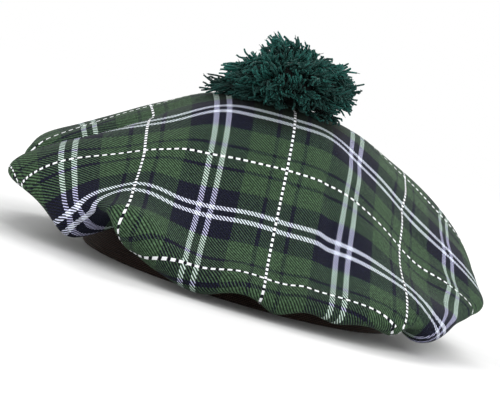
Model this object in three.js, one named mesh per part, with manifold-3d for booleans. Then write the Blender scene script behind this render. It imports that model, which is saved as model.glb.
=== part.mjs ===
// A tartan beret of the tam-o'-shanter kind: one round of twill cloth, wide and soft, gathered on to a
// ribbed elastic headband, with a cut yarn pompom sewn to its top.
// Millimetres, +Z up, origin at the middle of the headband's lower edge, the wearer's front towards -Y.
// Azimuths are in degrees, counted from +X towards +Y.
import * as THREE from 'three';
import { mergeVertices } from 'three/addons/utils/BufferGeometryUtils.js';
import Module from 'manifold-3d';

// ---------------------------------------------------------------- driving dimensions
const HEADBAND = {
  outerRadius: 93.0, // 584 mm round the outside
  wall: 2.6,
  height: 28.7,
  ribs: 14,
  ribDepth: 0.5,
  segments: 36,
};
const CLOTH = {
  wall: 1.5,
  seat: 0.3, // air between the cloth and the headband's top edge
  around: 88, // facets round the crown
};
const GATHERS = {
  count: 22,
  depth: 1.8,
  first: 7.8,
  last: 11,
};
const POMPOM = {
  centre: [-3, 0, 118], // of the yarn head
  reach: 40, // how far the locks stand out sideways
  rise: 22, // and upwards
  tilt: 9, // degrees, the right side up
  head: 0.78, // the share of the reach that the solid head fills
  root: 0.5, // the share of the reach at which a lock starts
  locks: 36,
  lockSides: 4,
  rootRadius: 10.5,
  tipRadius: 3.6,
  lowest: -0.5, // sine of the lowest lock's slope
  gap: 0.3, // air between the yarn and the cloth
};
// Locks that break the even round, by bearing and slope in degrees and by length as a share of the reach.
const STRAY_LOCKS = [
  { name: 'top spike', bearing: 176, slope: 74, length: 1.18 },
  { name: 'top right spike', bearing: -15, slope: 80, length: 1.06 },
  { name: 'right brow spike', bearing: -8, slope: 38, length: 1.05 },
  { name: 'right drooper', bearing: -4, slope: -24, length: 1.1 },
  { name: 'left straggler', bearing: 178, slope: -5, length: 1.12 },
  { name: 'left low straggler', bearing: 184, slope: -17, length: 1.2 },
];

// The crown's mean profile, from the top to the headband's seam. A fold says from which station of this
// table to which other one it runs, counting from 0.
const PROFILE = [
  { r: 0.0, z: 107.5 }, // 0 top, under the pompom
  { r: 26.0, z: 107.0 },
  { r: 52.0, z: 99.0 },
  { r: 76.0, z: 84.5 },
  { r: 99.0, z: 68.0 },
  { r: 122.0, z: 51.0 }, // 5 slope
  { r: 142.0, z: 37.0 },
  { r: 144.0, z: 17.0 }, // 7 outer edge
  { r: 129.0, z: 4.5 }, // 8 lowest droop
  { r: 112.0, z: 16.0 },
  { r: 101.0, z: 31.0 }, // 10 tucked up over the headband
  { r: HEADBAND.outerRadius - 2.0, z: HEADBAND.height + CLOTH.seat }, // 11 seam
];
const LAST_STATION = PROFILE.length - 1;
const FACETS_PER_STRETCH = [ // the stretch of stations, and the facets along it
  { from: 0, to: 5, facets: 7 },
  { from: 5, to: 9, facets: 9 },
  { from: 9, to: 11, facets: 5 },
];

// Every fold, lobe and hollow: the azimuth of its middle and its half width in degrees, the stations
// between which it runs, how far it moves the cloth out and up in millimetres, and how far it leans it
// round in degrees. Each fades to nothing at its edges.
const FOLDS = [
  { name: 'front slope', azimuth: -88, spread: 90, first: 0.0, last: 9.0, out: 0, up: -28, lean: 0 },
  { name: 'front tuck', azimuth: -88, spread: 48, first: 3.5, last: 10.0, out: -10, up: 0, lean: 0 },
  { name: 'front dip', azimuth: -102, spread: 9, first: 6.0, last: 10.0, out: 1, up: -1, lean: 0 },
  { name: 'front rise', azimuth: -88, spread: 10, first: 6.0, last: 10.0, out: 0, up: 9, lean: 0 },
  { name: 'bow rise', azimuth: -72, spread: 9, first: 6.0, last: 10.0, out: 0, up: 8, lean: 0 },
  { name: 'right bow rise', azimuth: -58, spread: 14, first: 6.0, last: 10.0, out: 0, up: 7, lean: 0 },
  { name: 'notch', azimuth: -45, spread: 6, first: 6.0, last: 10.0, out: -5, up: 9, lean: 0 },
  { name: 'right lobe', azimuth: -35, spread: 14, first: 5.0, last: 9.5, out: 2, up: 1, lean: 0 },
  { name: 'right front', azimuth: -18, spread: 42, first: 0.5, last: 7.5, out: 0, up: -18, lean: 0 },
  { name: 'right valley', azimuth: -18, spread: 16, first: 4.0, last: 9.0, out: -6, up: -2, lean: 0 },
  { name: 'right end', azimuth: -4, spread: 30, first: 1.5, last: 7.5, out: 0, up: 5, lean: 0 },
  { name: 'right chin', azimuth: -18, spread: 22, first: 6.3, last: 9.7, out: -6, up: 3, lean: 0 },
  { name: 'right hem', azimuth: -2, spread: 34, first: 5.8, last: 11.0, out: -3, up: 24, lean: 0 },
  { name: 'right brow', azimuth: 19, spread: 24, first: 4.3, last: 6.3, out: 9, up: 0, lean: 0 },
  { name: 'right tip', azimuth: 6, spread: 22, first: 4.6, last: 8.6, out: -7, up: 0, lean: 0 },
  { name: 'right corner', azimuth: -30, spread: 14, first: 5.2, last: 9.0, out: -6, up: 0, lean: 0 },
  { name: 'right shoulder', azimuth: 34, spread: 26, first: 2.0, last: 8.0, out: -1, up: 12, lean: 0 },
  { name: 'back fullness', azimuth: 90, spread: 125, first: 0.5, last: 10.5, out: -8, up: 19, lean: 0 },
  { name: 'back right lobe', azimuth: 62, spread: 18, first: 4.0, last: 10.0, out: 3, up: -4, lean: 3 },
  { name: 'back valley', azimuth: 84, spread: 13, first: 3.8, last: 9.5, out: -8, up: 2, lean: 0 },
  { name: 'back lobe', azimuth: 108, spread: 17, first: 4.0, last: 10.0, out: 3, up: -4, lean: -3 },
  { name: 'back hollow', azimuth: 132, spread: 12, first: 5.0, last: 10.0, out: -8, up: 6, lean: 0 },
  { name: 'back left lobe', azimuth: 174, spread: 17, first: 3.5, last: 9.0, out: -2, up: 7, lean: 0 },
  { name: 'left valley', azimuth: -166, spread: 10, first: 2.5, last: 9.5, out: -12, up: -8, lean: 0 },
  { name: 'left hem', azimuth: -170, spread: 42, first: 5.8, last: 11.0, out: -2, up: 23, lean: 0 },
  { name: 'left lobe', azimuth: -153, spread: 16, first: 3.6, last: 9.2, out: 9, up: -1, lean: -3 },
  { name: 'left crest', azimuth: -151, spread: 17, first: 2.5, last: 6.5, out: 0, up: 10, lean: 0 },
  { name: 'left chin', azimuth: -152, spread: 22, first: 6.5, last: 10.3, out: -8, up: 12, lean: 0 },
  { name: 'left shoulder', azimuth: -134, spread: 24, first: 1.5, last: 7.0, out: 0, up: 10, lean: 0 },
  { name: 'left front', azimuth: -160, spread: 30, first: 0.5, last: 6.5, out: 0, up: -4, lean: 0 },
  { name: 'left corner', azimuth: -142, spread: 14, first: 5.6, last: 9.2, out: -4, up: 1, lean: 0 },
  { name: 'corner lobe', azimuth: -138, spread: 12, first: 5.0, last: 9.5, out: 0, up: -4, lean: 0 },
  { name: 'hollow', azimuth: -127, spread: 10.5, first: 5.6, last: 10.2, out: -27, up: 22, lean: 0 },
  { name: 'bow lip', azimuth: -121, spread: 8, first: 4.4, last: 7.0, out: 6, up: 0, lean: 0 },
  { name: 'left bow rise', azimuth: -118, spread: 10, first: 6.0, last: 10.0, out: 0, up: 5, lean: 0 },
  { name: 'ridge', azimuth: -114, spread: 16, first: 4.0, last: 8.5, out: 4, up: 18, lean: -3 },
];

// ---------------------------------------------------------------- the crown's surface
const radians = THREE.MathUtils.degToRad;

/** A rounded hump: 1 in the middle, 0 at x = -1 and x = 1 and past them. */
function hump(x) {
  return Math.abs(x) < 1 ? Math.cos(0.5 * Math.PI * x) ** 2 : 0;
}

/** The angle from one azimuth to another, in degrees between -180 and 180. */
function turn(from, to) {
  return THREE.MathUtils.euclideanModulo(to - from + 180, 360) - 180;
}

/** How strongly a fold or gather acts at a station. */
function along(row, station) {
  return hump((2 * station - row.first - row.last) / (row.last - row.first));
}

/** The profile at one azimuth, folds included: a radius, a height and a lean for every station. */
function stationsAt(azimuth) {
  return PROFILE.map(({ r, z }, station) => {
    const point = { r, z, lean: 0 };
    for (const fold of FOLDS) {
      const weight = hump(turn(fold.azimuth, azimuth) / fold.spread) * along(fold, station);
      point.r += weight * fold.out;
      point.z += weight * fold.up;
      point.lean += weight * fold.lean;
    }
    return point;
  });
}

/** A uniform cubic B-spline through the stations, drawn out to reach its two end points. */
function splineAt(points, u, key) {
  const at = (i) => {
    if (i < 0) return 2 * points[0][key] - points[1][key];
    if (i > LAST_STATION) return 2 * points[LAST_STATION][key] - points[LAST_STATION - 1][key];
    return points[i][key];
  };
  const i = Math.min(Math.floor(u), LAST_STATION - 1);
  const f = u - i;
  const weights = [(1 - f) ** 3, 3 * f ** 3 - 6 * f ** 2 + 4, -3 * f ** 3 + 3 * f ** 2 + 3 * f + 1, f ** 3];
  return weights.reduce((sum, weight, k) => sum + weight * at(i - 1 + k), 0) / 6;
}

/** A point of the crown's outer face, from its azimuth and its place u along the profile. */
function crownPoint(azimuth, u) {
  const stations = stationsAt(azimuth);
  const gather = GATHERS.depth * along(GATHERS, u) * Math.cos(GATHERS.count * radians(azimuth));
  const r = splineAt(stations, u, 'r') + gather;
  const z = splineAt(stations, u, 'z') + gather;
  const theta = radians(azimuth + splineAt(stations, u, 'lean'));
  return new THREE.Vector3(r * Math.cos(theta), r * Math.sin(theta), z);
}

/** The places along the profile where the facets meet. */
function profileSteps() {
  const steps = [0];
  for (const { from, to, facets } of FACETS_PER_STRETCH) {
    for (let k = 1; k <= facets; k += 1) steps.push(from + ((to - from) * k) / facets);
  }
  return steps;
}

/** Triangles of a round sheet: vertex 0 is its pole, then come its rings of `around` vertices. */
function sheetTriangles(around, rings) {
  const vertex = (ring, i) => (ring === 0 ? 0 : 1 + (ring - 1) * around + (i % around));
  const triangles = [];
  for (let ring = 0; ring < rings; ring += 1) {
    for (let i = 0; i < around; i += 1) {
      if (ring > 0) triangles.push([vertex(ring, i), vertex(ring + 1, i), vertex(ring, i + 1)]);
      triangles.push([vertex(ring, i + 1), vertex(ring + 1, i), vertex(ring + 1, i + 1)]);
    }
  }
  return triangles;
}

/** A geometry from points and triangles, with its normals. */
function meshGeometry(points, triangles) {
  const geometry = new THREE.BufferGeometry();
  const coordinates = points.flatMap((p) => p.toArray());
  geometry.setAttribute('position', new THREE.Float32BufferAttribute(coordinates, 3));
  geometry.setIndex(triangles.flat());
  geometry.computeVertexNormals();
  return geometry;
}

/** The points of the crown's outer face: the pole, then one ring for every step along the profile. */
function crownSheet(steps, around) {
  const points = [crownPoint(0, 0)];
  for (const u of steps.slice(1)) {
    for (let i = 0; i < around; i += 1) points.push(crownPoint((360 * i) / around, u));
  }
  return points;
}

/** The cloth: the outer face, the same face set in by the wall, and the cut edge between the two. */
function crownGeometry() {
  const { around, wall } = CLOTH;
  const steps = profileSteps();
  const rings = steps.length - 1;
  const outer = crownSheet(steps, around);
  const faces = sheetTriangles(around, rings);
  const normals = meshGeometry(outer, faces).getAttribute('normal');
  const inner = outer.map((p, k) => p.clone().addScaledVector(
    new THREE.Vector3().fromBufferAttribute(normals, k),
    -wall,
  ));
  const size = outer.length;
  const triangles = [...faces, ...faces.map(([a, b, c]) => [a + size, c + size, b + size])];
  const rim = (i) => 1 + (rings - 1) * around + (i % around);
  for (let i = 0; i < around; i += 1) {
    triangles.push([rim(i + 1), rim(i), rim(i) + size]);
    triangles.push([rim(i + 1), rim(i) + size, rim(i + 1) + size]);
  }
  return meshGeometry([...outer, ...inner], triangles);
}

// ---------------------------------------------------------------- the headband
/** A knitted elastic ring: flat below, ribs round its outside, closed on itself. */
function headbandGeometry() {
  const { outerRadius, wall, height, ribs, ribDepth, segments } = HEADBAND;
  const pitch = height / ribs;
  const profile = [new THREE.Vector2(outerRadius - wall, 0)];
  for (let k = 0; k < ribs; k += 1) {
    profile.push(new THREE.Vector2(outerRadius - ribDepth, k * pitch));
    profile.push(new THREE.Vector2(outerRadius, (k + 0.5) * pitch));
  }
  profile.push(new THREE.Vector2(outerRadius - ribDepth, height));
  profile.push(new THREE.Vector2(outerRadius - wall, height));
  profile.push(profile[0].clone());
  return new THREE.LatheGeometry(profile, segments).rotateX(0.5 * Math.PI);
}

// ---------------------------------------------------------------- the pompom
const wasm = await Module();
wasm.setup();

/** A manifold solid from a closed geometry. */
function solidOf(geometry) {
  const bare = geometry.clone();
  for (const name of ['normal', 'uv']) bare.deleteAttribute(name);
  const merged = mergeVertices(bare);
  return new wasm.Manifold(new wasm.Mesh({
    numProp: 3,
    vertProperties: new Float32Array(merged.getAttribute('position').array),
    triVerts: new Uint32Array(merged.getIndex().array),
  }));
}

/** A geometry from a manifold solid. */
function geometryOf(solid) {
  const { vertProperties, triVerts } = solid.getMesh();
  const geometry = new THREE.BufferGeometry();
  geometry.setAttribute('position', new THREE.BufferAttribute(vertProperties, 3));
  geometry.setIndex(new THREE.BufferAttribute(triVerts, 1));
  geometry.computeVertexNormals();
  return geometry;
}

/** The crown's top lifted by the pompom's gap, with a flat floor under it: what the yarn rests on. */
function seatSolid() {
  const around = 48;
  const { to, facets } = FACETS_PER_STRETCH[0];
  const steps = [0, 1, 2, 3, 4].map((facet) => (facet * to) / facets);
  const floor = 50;
  const top = crownSheet(steps, around).map((p) => p.setZ(p.z + POMPOM.gap));
  const faces = sheetTriangles(around, steps.length - 1);
  const base = top.length;
  const bottom = top.map((p) => p.clone().setZ(floor));
  const rim = (i) => 1 + (steps.length - 2) * around + (i % around);
  const triangles = [...faces, ...faces.map(([a, b, c]) => [a + base, c + base, b + base])];
  for (let i = 0; i < around; i += 1) {
    triangles.push([rim(i + 1), rim(i), rim(i) + base]);
    triangles.push([rim(i + 1), rim(i) + base, rim(i + 1) + base]);
  }
  return solidOf(meshGeometry([...top, ...bottom], triangles));
}

/** A point on the pompom's outline, by its bearing in radians, the sine of its slope and its length. */
function lockTip(bearing, slope, length) {
  const spread = length * Math.sqrt(1 - slope * slope);
  return new THREE.Vector3(
    POMPOM.reach * spread * Math.cos(bearing),
    POMPOM.reach * spread * Math.sin(bearing),
    POMPOM.rise * length * slope,
  );
}

/** The tips of all the locks: an even round by the golden angle, uneven in length, and the stray ones. */
function lockTips() {
  const { locks, lowest } = POMPOM;
  const goldenAngle = Math.PI * (3 - Math.sqrt(5));
  const tips = [];
  for (let k = 0; k < locks; k += 1) {
    const slope = 1 - ((1 - lowest) * (k + 0.5)) / locks;
    tips.push(lockTip(k * goldenAngle, slope, 1 + 0.07 * Math.sin(5.3 * k) + 0.03 * Math.cos(2.1 * k)));
  }
  const strays = STRAY_LOCKS.map(({ bearing, slope, length }) => (
    lockTip(radians(bearing), Math.sin(radians(slope)), length)
  ));
  return [...tips, ...strays];
}

/** One lock of yarn: a blunt cone that starts inside the head and ends at its tip. */
function lockGeometry(tip) {
  const { root, rootRadius, tipRadius, lockSides } = POMPOM;
  const length = tip.length();
  const geometry = new THREE.CylinderGeometry(tipRadius, rootRadius, length * (1 - root), lockSides);
  geometry.translate(0, 0.5 * length * (1 + root), 0);
  const up = new THREE.Vector3(0, 1, 0);
  return geometry.applyQuaternion(new THREE.Quaternion().setFromUnitVectors(up, tip.clone().normalize()));
}

/** The yarn head with its locks fused to it, cut off where they meet the cloth. */
function pompomGeometry() {
  const { centre, reach, rise, tilt, head } = POMPOM;
  const ball = new THREE.SphereGeometry(head, 16, 8).rotateX(0.5 * Math.PI).scale(reach, reach, rise);
  const solid = lockTips().reduce((sum, tip) => sum.add(solidOf(lockGeometry(tip))), solidOf(ball));
  return geometryOf(solid.rotate([0, -tilt, 0]).translate(centre).subtract(seatSolid()));
}

// ---------------------------------------------------------------- the assembly
/** A named piece in its colour. */
function piece(name, geometry, colour, roughness) {
  const material = new THREE.MeshStandardMaterial({ color: colour, roughness, metalness: 0 });
  const mesh = new THREE.Mesh(geometry, material);
  mesh.name = name;
  return mesh;
}

const beret = new THREE.Group();
beret.add(
  piece('crown', crownGeometry(), '#35532f', 0.9),
  piece('headband', headbandGeometry(), '#1b1514', 0.85),
  piece('pompom', pompomGeometry(), '#0f3d3a', 1.0),
);

export default beret;
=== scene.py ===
"""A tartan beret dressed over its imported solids: twill cloth, ribbed elastic and a cut yarn pompom.

Sizes and tables are in millimetres and degrees, as on a maker's pattern. Meshes are made in metres, in the
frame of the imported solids: +Z up, the front towards -Y, and the origin in the middle of the headband's lower
edge. Azimuths are counted from +X towards +Y.
"""
from __future__ import annotations

import logging
import math
from dataclasses import dataclass
from enum import Enum
from typing import Sequence, Union

import bpy
import numpy as np
from mathutils import Matrix, Vector


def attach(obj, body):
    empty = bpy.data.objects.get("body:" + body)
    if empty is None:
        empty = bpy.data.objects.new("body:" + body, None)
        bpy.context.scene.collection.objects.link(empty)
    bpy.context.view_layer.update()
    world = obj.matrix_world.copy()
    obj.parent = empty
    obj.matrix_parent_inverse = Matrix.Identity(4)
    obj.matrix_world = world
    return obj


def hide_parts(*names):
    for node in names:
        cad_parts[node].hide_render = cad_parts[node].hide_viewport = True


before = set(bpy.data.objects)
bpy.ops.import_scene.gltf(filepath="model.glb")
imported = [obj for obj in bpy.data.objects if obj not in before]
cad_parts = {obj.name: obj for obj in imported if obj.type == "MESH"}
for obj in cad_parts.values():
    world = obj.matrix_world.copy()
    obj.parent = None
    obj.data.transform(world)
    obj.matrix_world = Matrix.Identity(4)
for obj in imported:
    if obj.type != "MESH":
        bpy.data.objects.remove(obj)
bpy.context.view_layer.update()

LOG = logging.getLogger("beret")
MM = 0.001
TURN = 2.0 * math.pi

Socket = bpy.types.NodeSocket
Value = Union[float, Socket]
Screen = tuple[int, int, int]  # a colour's red, green and blue, 0 to 255 on screen
Colour = tuple[float, float, float, float]
Step = tuple[float, float, float, float]  # a smooth step: where it starts and ends, and its values there
WHITE: Colour = (1.0, 1.0, 1.0, 1.0)


# ---------------------------------------------------------------- small tools for shapes
def hump(x: np.ndarray) -> np.ndarray:
    """Squared cosine hump: 1 at x = 0, falling to 0 at x = -1 and x = 1, and 0 past them."""
    return np.where(np.abs(x) < 1.0, np.cos(0.5 * np.pi * x) ** 2, 0.0)


def hump_over(x: np.ndarray, first: float, last: float) -> np.ndarray:
    """A hump that stretches from first to last, with its top midway."""
    return hump((2.0 * x - first - last) / (last - first))


def turned_from(azimuth: np.ndarray, middle: Union[float, np.ndarray]) -> np.ndarray:
    """Degrees from a middle azimuth the shorter way round, -180 to 180."""
    return (azimuth - middle + 180.0) % 360.0 - 180.0


def smooth_step(x: np.ndarray, low: float, high: float) -> np.ndarray:
    """Three t squared less two t cubed, with t running from 0 at low to 1 at high."""
    t = np.clip((x - low) / (high - low), 0.0, 1.0)
    return t * t * (3.0 - 2.0 * t)


def unit(vectors: np.ndarray) -> np.ndarray:
    """Each vector along the last axis, divided by its length."""
    return vectors / np.maximum(np.linalg.norm(vectors, axis=-1, keepdims=True), 1e-12)


def pointing(turn: np.ndarray, tilt: np.ndarray) -> np.ndarray:
    """Unit vectors that point round by one angle and up by the other, both in radians."""
    level = np.cos(tilt)
    return np.stack(np.broadcast_arrays(level * np.cos(turn), level * np.sin(turn), np.sin(tilt)), axis=-1)


def full_turn(count: int) -> np.ndarray:
    """Angles in radians, evenly round from 0."""
    return 2.0 * np.pi * np.arange(count) / count


def catmull_rom(places: np.ndarray, count: int, closed: bool) -> np.ndarray:
    """Weights that resample a row of values at fractional places along it.

    Between its two middle values a point is the Catmull-Rom cubic of the four nearest values.

    Args:
        places: where to sample, counted in values from the row's first one.
        count: how many values the row has.
        closed: whether the row's end joins its start.

    Returns:
        A matrix with a row of weights for each place and a column for each value.
    """
    start = np.floor(places).astype(int)
    if not closed:
        start = np.minimum(start, count - 2)
    t = (places - start)[:, None]
    near = np.concatenate(
        [
            -0.5 * t + t**2 - 0.5 * t**3,
            1.0 - 2.5 * t**2 + 1.5 * t**3,
            0.5 * t + 2.0 * t**2 - 1.5 * t**3,
            -0.5 * t**2 + 0.5 * t**3,
        ],
        axis=1,
    )
    columns = start[:, None] + np.arange(-1, 3)[None, :]
    columns = columns % count if closed else np.clip(columns, 0, count - 1)
    weights = np.zeros((len(places), count))
    np.add.at(weights, (np.arange(len(places))[:, None], columns), near)
    return weights


def plane_waves(points: np.ndarray, lengths: tuple[float, float], count: int, seed: int) -> np.ndarray:
    """Seeded unevenness: the mean of cosines that run across the points in random directions.

    Args:
        points: positions, with two or three coordinates along the last axis.
        lengths: the shortest and longest wave, in the points' unit.
        count: how many waves are summed.
        seed: what fixes their directions, lengths and phases.

    Returns:
        One value for each point, with a spread of about 1.
    """
    rng = np.random.default_rng(seed)
    directions = unit(rng.normal(size=(points.shape[-1], count)).T).T
    numbers = 2.0 * np.pi / rng.uniform(*lengths, size=count)
    phases = rng.uniform(0.0, 2.0 * np.pi, size=count)
    return np.cos(points @ (directions * numbers) + phases).sum(axis=-1) * math.sqrt(2.0 / count)


def ring_faces(rings: int, around: int, first: int = 0) -> np.ndarray:
    """Quads between rings of vertices that are laid out one ring after another.

    Args:
        rings: how many rings there are.
        around: vertices on each ring.
        first: the index of the first ring's first vertex.

    Returns:
        Quads, facing away from the axis if rings go up and vertices go round anticlockwise.
    """
    ring, i = np.meshgrid(np.arange(rings - 1), np.arange(around), indexing="ij")
    here = first + ring * around
    following = (i + 1) % around
    quads = np.stack([here + i, here + following, here + around + following, here + around + i], axis=-1)
    return quads.reshape(-1, 4)


def fan_faces(apex: int, first: int, around: int) -> np.ndarray:
    """Triangles from one vertex to each side of a ring, whose first vertex is given."""
    i = np.arange(around)
    return np.stack([np.full(around, apex), first + i, first + (i + 1) % around], axis=1)


def turned_over(triangles: np.ndarray) -> np.ndarray:
    """The same triangles facing the other way, each still counted from its apex."""
    return triangles[:, [0, 2, 1]]


def new_mesh(name: str, points: np.ndarray, faces: Sequence[np.ndarray]) -> bpy.types.Object:
    """A smooth-shaded mesh object at the origin.

    Args:
        name: the piece's name.
        points: vertex positions in millimetres, one row each.
        faces: arrays of triangles or quads, one face a row.

    Returns:
        The object, linked into the scene and riding on the root body.
    """
    mesh = bpy.data.meshes.new(name)
    starts, sizes, corners, offset = [], [], [], 0
    for group in faces:
        sides = group.shape[1]
        starts.append(offset + sides * np.arange(len(group)))
        sizes.append(np.full(len(group), sides))
        corners.append(group.reshape(-1))
        offset += group.size
    mesh.vertices.add(len(points))
    mesh.vertices.foreach_set("co", (points * MM).astype(np.float32).reshape(-1))
    mesh.loops.add(offset)
    mesh.loops.foreach_set("vertex_index", np.concatenate(corners).astype(np.int32))
    mesh.polygons.add(sum(len(group) for group in faces))
    mesh.polygons.foreach_set("loop_start", np.concatenate(starts).astype(np.int32))
    mesh.polygons.foreach_set("loop_total", np.concatenate(sizes).astype(np.int32))
    mesh.update(calc_edges=True)
    mesh.validate()
    mesh.shade_smooth()
    piece = bpy.data.objects.new(name, mesh)
    bpy.context.scene.collection.objects.link(piece)
    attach(piece, "root")
    return piece


def corner_vertices(piece: bpy.types.Object) -> np.ndarray:
    """Which vertex stands at each corner of a mesh's faces.

    Args:
        piece: the mesh object.

    Returns:
        One index for each corner, in the order of the faces.
    """
    corners = np.empty(len(piece.data.loops), dtype=np.int32)
    piece.data.loops.foreach_get("vertex_index", corners)
    return corners


def set_map(piece: bpy.types.Object, name: str, places: np.ndarray) -> None:
    """Gives a mesh a UV map from one pair of coordinates for each corner of its faces."""
    layer = piece.data.uv_layers.new(name=name)
    layer.data.foreach_set("uv", places.astype(np.float32).reshape(-1))


def set_attribute(piece: bpy.types.Object, name: str, values: np.ndarray) -> None:
    """Gives a mesh a named number for each vertex, for its material to read."""
    attribute = piece.data.attributes.new(name=name, type="FLOAT", domain="POINT")
    attribute.data.foreach_set("value", values.astype(np.float32))


def linear(colour: Screen) -> Colour:
    """The light that a colour on screen stands for: the usual screen curve undone.

    Args:
        colour: red, green and blue, 0 to 255.

    Returns:
        Red, green and blue, 0 to 1, and full cover.
    """
    screen = np.array(colour) / 255.0
    light = np.where(screen <= 0.04045, screen / 12.92, ((screen + 0.055) / 1.055) ** 2.4)
    return (float(light[0]), float(light[1]), float(light[2]), 1.0)


# ---------------------------------------------------------------- small tools for finishes
class Blend(Enum):
    """How a colour is laid over another."""

    MIX = "MIX"
    MULTIPLY = "MULTIPLY"


class Op(Enum):
    """What a Math node works out from its values."""

    ADD = "ADD"
    SUBTRACT = "SUBTRACT"
    MULTIPLY = "MULTIPLY"
    DIVIDE = "DIVIDE"
    MULTIPLY_ADD = "MULTIPLY_ADD"
    MAXIMUM = "MAXIMUM"
    LESS_THAN = "LESS_THAN"
    GREATER_THAN = "GREATER_THAN"
    COMPARE = "COMPARE"
    FRACT = "FRACT"
    PINGPONG = "PINGPONG"
    ABSOLUTE = "ABSOLUTE"
    SQRT = "SQRT"
    SINE = "SINE"
    COSINE = "COSINE"


@dataclass(frozen=True)
class Grain:
    """Soft noise put through a smooth step, for what is uneven in a finish.

    The scale counts patches for each unit of what it is read from, and the detail and roughness say how
    finely they break up. The noise goes from about 0 to 1. The step makes it start below low, and end above
    high.
    """

    scale: float
    detail: float
    low: float
    high: float
    start: float
    end: float
    roughness: float = 0.5


class Sketch:
    """A material's node tree, with a short method for each kind of node that the finishes use."""

    def __init__(self, name: str) -> None:
        """Starts a material that holds one Principled shader.

        Args:
            name: the material's name.
        """
        self.material = bpy.data.materials.new(name)
        self.material.use_nodes = True
        self.nodes = self.material.node_tree.nodes
        self.links = self.material.node_tree.links
        self.shader = self.nodes["Principled BSDF"]

    def _feed(self, socket: Socket, value: object) -> None:
        """Links a socket to another, or sets it to a plain value.

        Args:
            socket: the input.
            value: another node's output, or what to set.
        """
        if isinstance(value, Socket):
            self.links.new(value, socket)
        else:
            socket.default_value = value

    def shade(self, **inputs: object) -> None:
        """Sets the shader's sockets, whose names are given with underscores for spaces."""
        for name, value in inputs.items():
            self._feed(self.shader.inputs[name.replace("_", " ")], value)

    def math(self, op: Op, first: Value, second: Value = 0.0, third: Value = 0.0) -> Socket:
        """One Math node.

        Args:
            op: what it works out.
            first: its first value.
            second: its second value, if the operation has one.
            third: its third value, if the operation has one.

        Returns:
            The result.
        """
        node = self.nodes.new("ShaderNodeMath")
        node.operation = op.value
        for socket, value in zip(node.inputs, (first, second, third)):
            self._feed(socket, value)
        return node.outputs[0]

    def times(self, first: Value, second: Value) -> Socket:
        """One value times another."""
        return self.math(Op.MULTIPLY, first, second)

    def add_times(self, first: Value, second: Value, third: Value) -> Socket:
        """The first value times the second, plus the third."""
        return self.math(Op.MULTIPLY_ADD, first, second, third)

    def squared_reach(self, x: Socket, y: Socket) -> Socket:
        """The square of a place's distance from where x and y are 0: the sum of their squares."""
        return self.add_times(x, x, self.times(y, y))

    def ramp(self, value: Value, low: float, high: float, start: float = 0.0, end: float = 1.0) -> Socket:
        """A smooth step: three t squared less two t cubed, between two values.

        Args:
            value: what it is read from.
            low: where the step begins, t = 0.
            high: where it ends, t = 1.
            start: its value up to low.
            end: its value from high on.

        Returns:
            The stepped value.
        """
        node = self.nodes.new("ShaderNodeMapRange")
        node.interpolation_type = "SMOOTHSTEP"
        for socket, given in zip(node.inputs, (value, low, high, start, end)):
            self._feed(socket, given)
        return node.outputs[0]

    def mix(self, share: Value, first: object, second: object, blend: Blend = Blend.MIX) -> Socket:
        """Lays the second colour over the first.

        Args:
            share: how much of the second shows, 0 to 1.
            first: the colour below.
            second: the colour laid over it.
            blend: how it is laid.

        Returns:
            The colour that results.
        """
        node = self.nodes.new("ShaderNodeMix")
        node.data_type = "RGBA"
        node.blend_type = blend.value
        factor, below, above = node.inputs[0], node.inputs[6], node.inputs[7]
        self._feed(factor, share)
        self._feed(below, first)
        self._feed(above, second)
        return node.outputs[2]

    def scaled(self, colour: Socket, level: Socket) -> Socket:
        """A colour made darker or lighter, times a level."""
        return self.mix(1.0, colour, self.join(level, level, level), Blend.MULTIPLY)

    def place(self, layer: str = "") -> Socket:
        """The point that is being coloured.

        Args:
            layer: a UV map's name, or nothing for object coordinates in metres.

        Returns:
            Its coordinates.
        """
        if layer:
            node = self.nodes.new("ShaderNodeUVMap")
            node.uv_map = layer
            return node.outputs[0]
        return self.nodes.new("ShaderNodeTexCoord").outputs["Object"]

    def attribute(self, name: str) -> Socket:
        """A number that the mesh carries for each vertex.

        Args:
            name: the attribute's name.

        Returns:
            Its value.
        """
        node = self.nodes.new("ShaderNodeAttribute")
        node.attribute_name = name
        return node.outputs["Fac"]

    def split(self, vector: Socket) -> tuple[Socket, Socket, Socket]:
        """Takes a vector apart.

        Args:
            vector: the vector.

        Returns:
            Its three coordinates.
        """
        node = self.nodes.new("ShaderNodeSeparateXYZ")
        self.links.new(vector, node.inputs[0])
        return node.outputs[0], node.outputs[1], node.outputs[2]

    def join(self, x: Value, y: Value, z: Value = 0.0) -> Socket:
        """Puts a vector together.

        Args:
            x: its first coordinate.
            y: its second coordinate.
            z: its third coordinate.

        Returns:
            The vector.
        """
        node = self.nodes.new("ShaderNodeCombineXYZ")
        for socket, value in zip(node.inputs, (x, y, z)):
            self._feed(socket, value)
        return node.outputs[0]

    def noise(self, vector: Socket, scale: float, detail: float = 2.0, roughness: float = 0.5) -> Socket:
        """Soft noise from about 0 to 1.

        Args:
            vector: what it is read from.
            scale: patches for each unit of the vector.
            detail: how many finer layers it has.
            roughness: how strong the finer layers are.

        Returns:
            The noise.
        """
        node = self.nodes.new("ShaderNodeTexNoise")
        self.links.new(vector, node.inputs["Vector"])
        node.inputs["Scale"].default_value = scale
        node.inputs["Detail"].default_value = detail
        node.inputs["Roughness"].default_value = roughness
        return node.outputs[0]

    def grain(self, vector: Socket, grain: Grain) -> Socket:
        """Soft noise put through a smooth step, as the grain says."""
        noise = self.noise(vector, grain.scale, grain.detail, grain.roughness)
        return self.ramp(noise, grain.low, grain.high, grain.start, grain.end)

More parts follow.
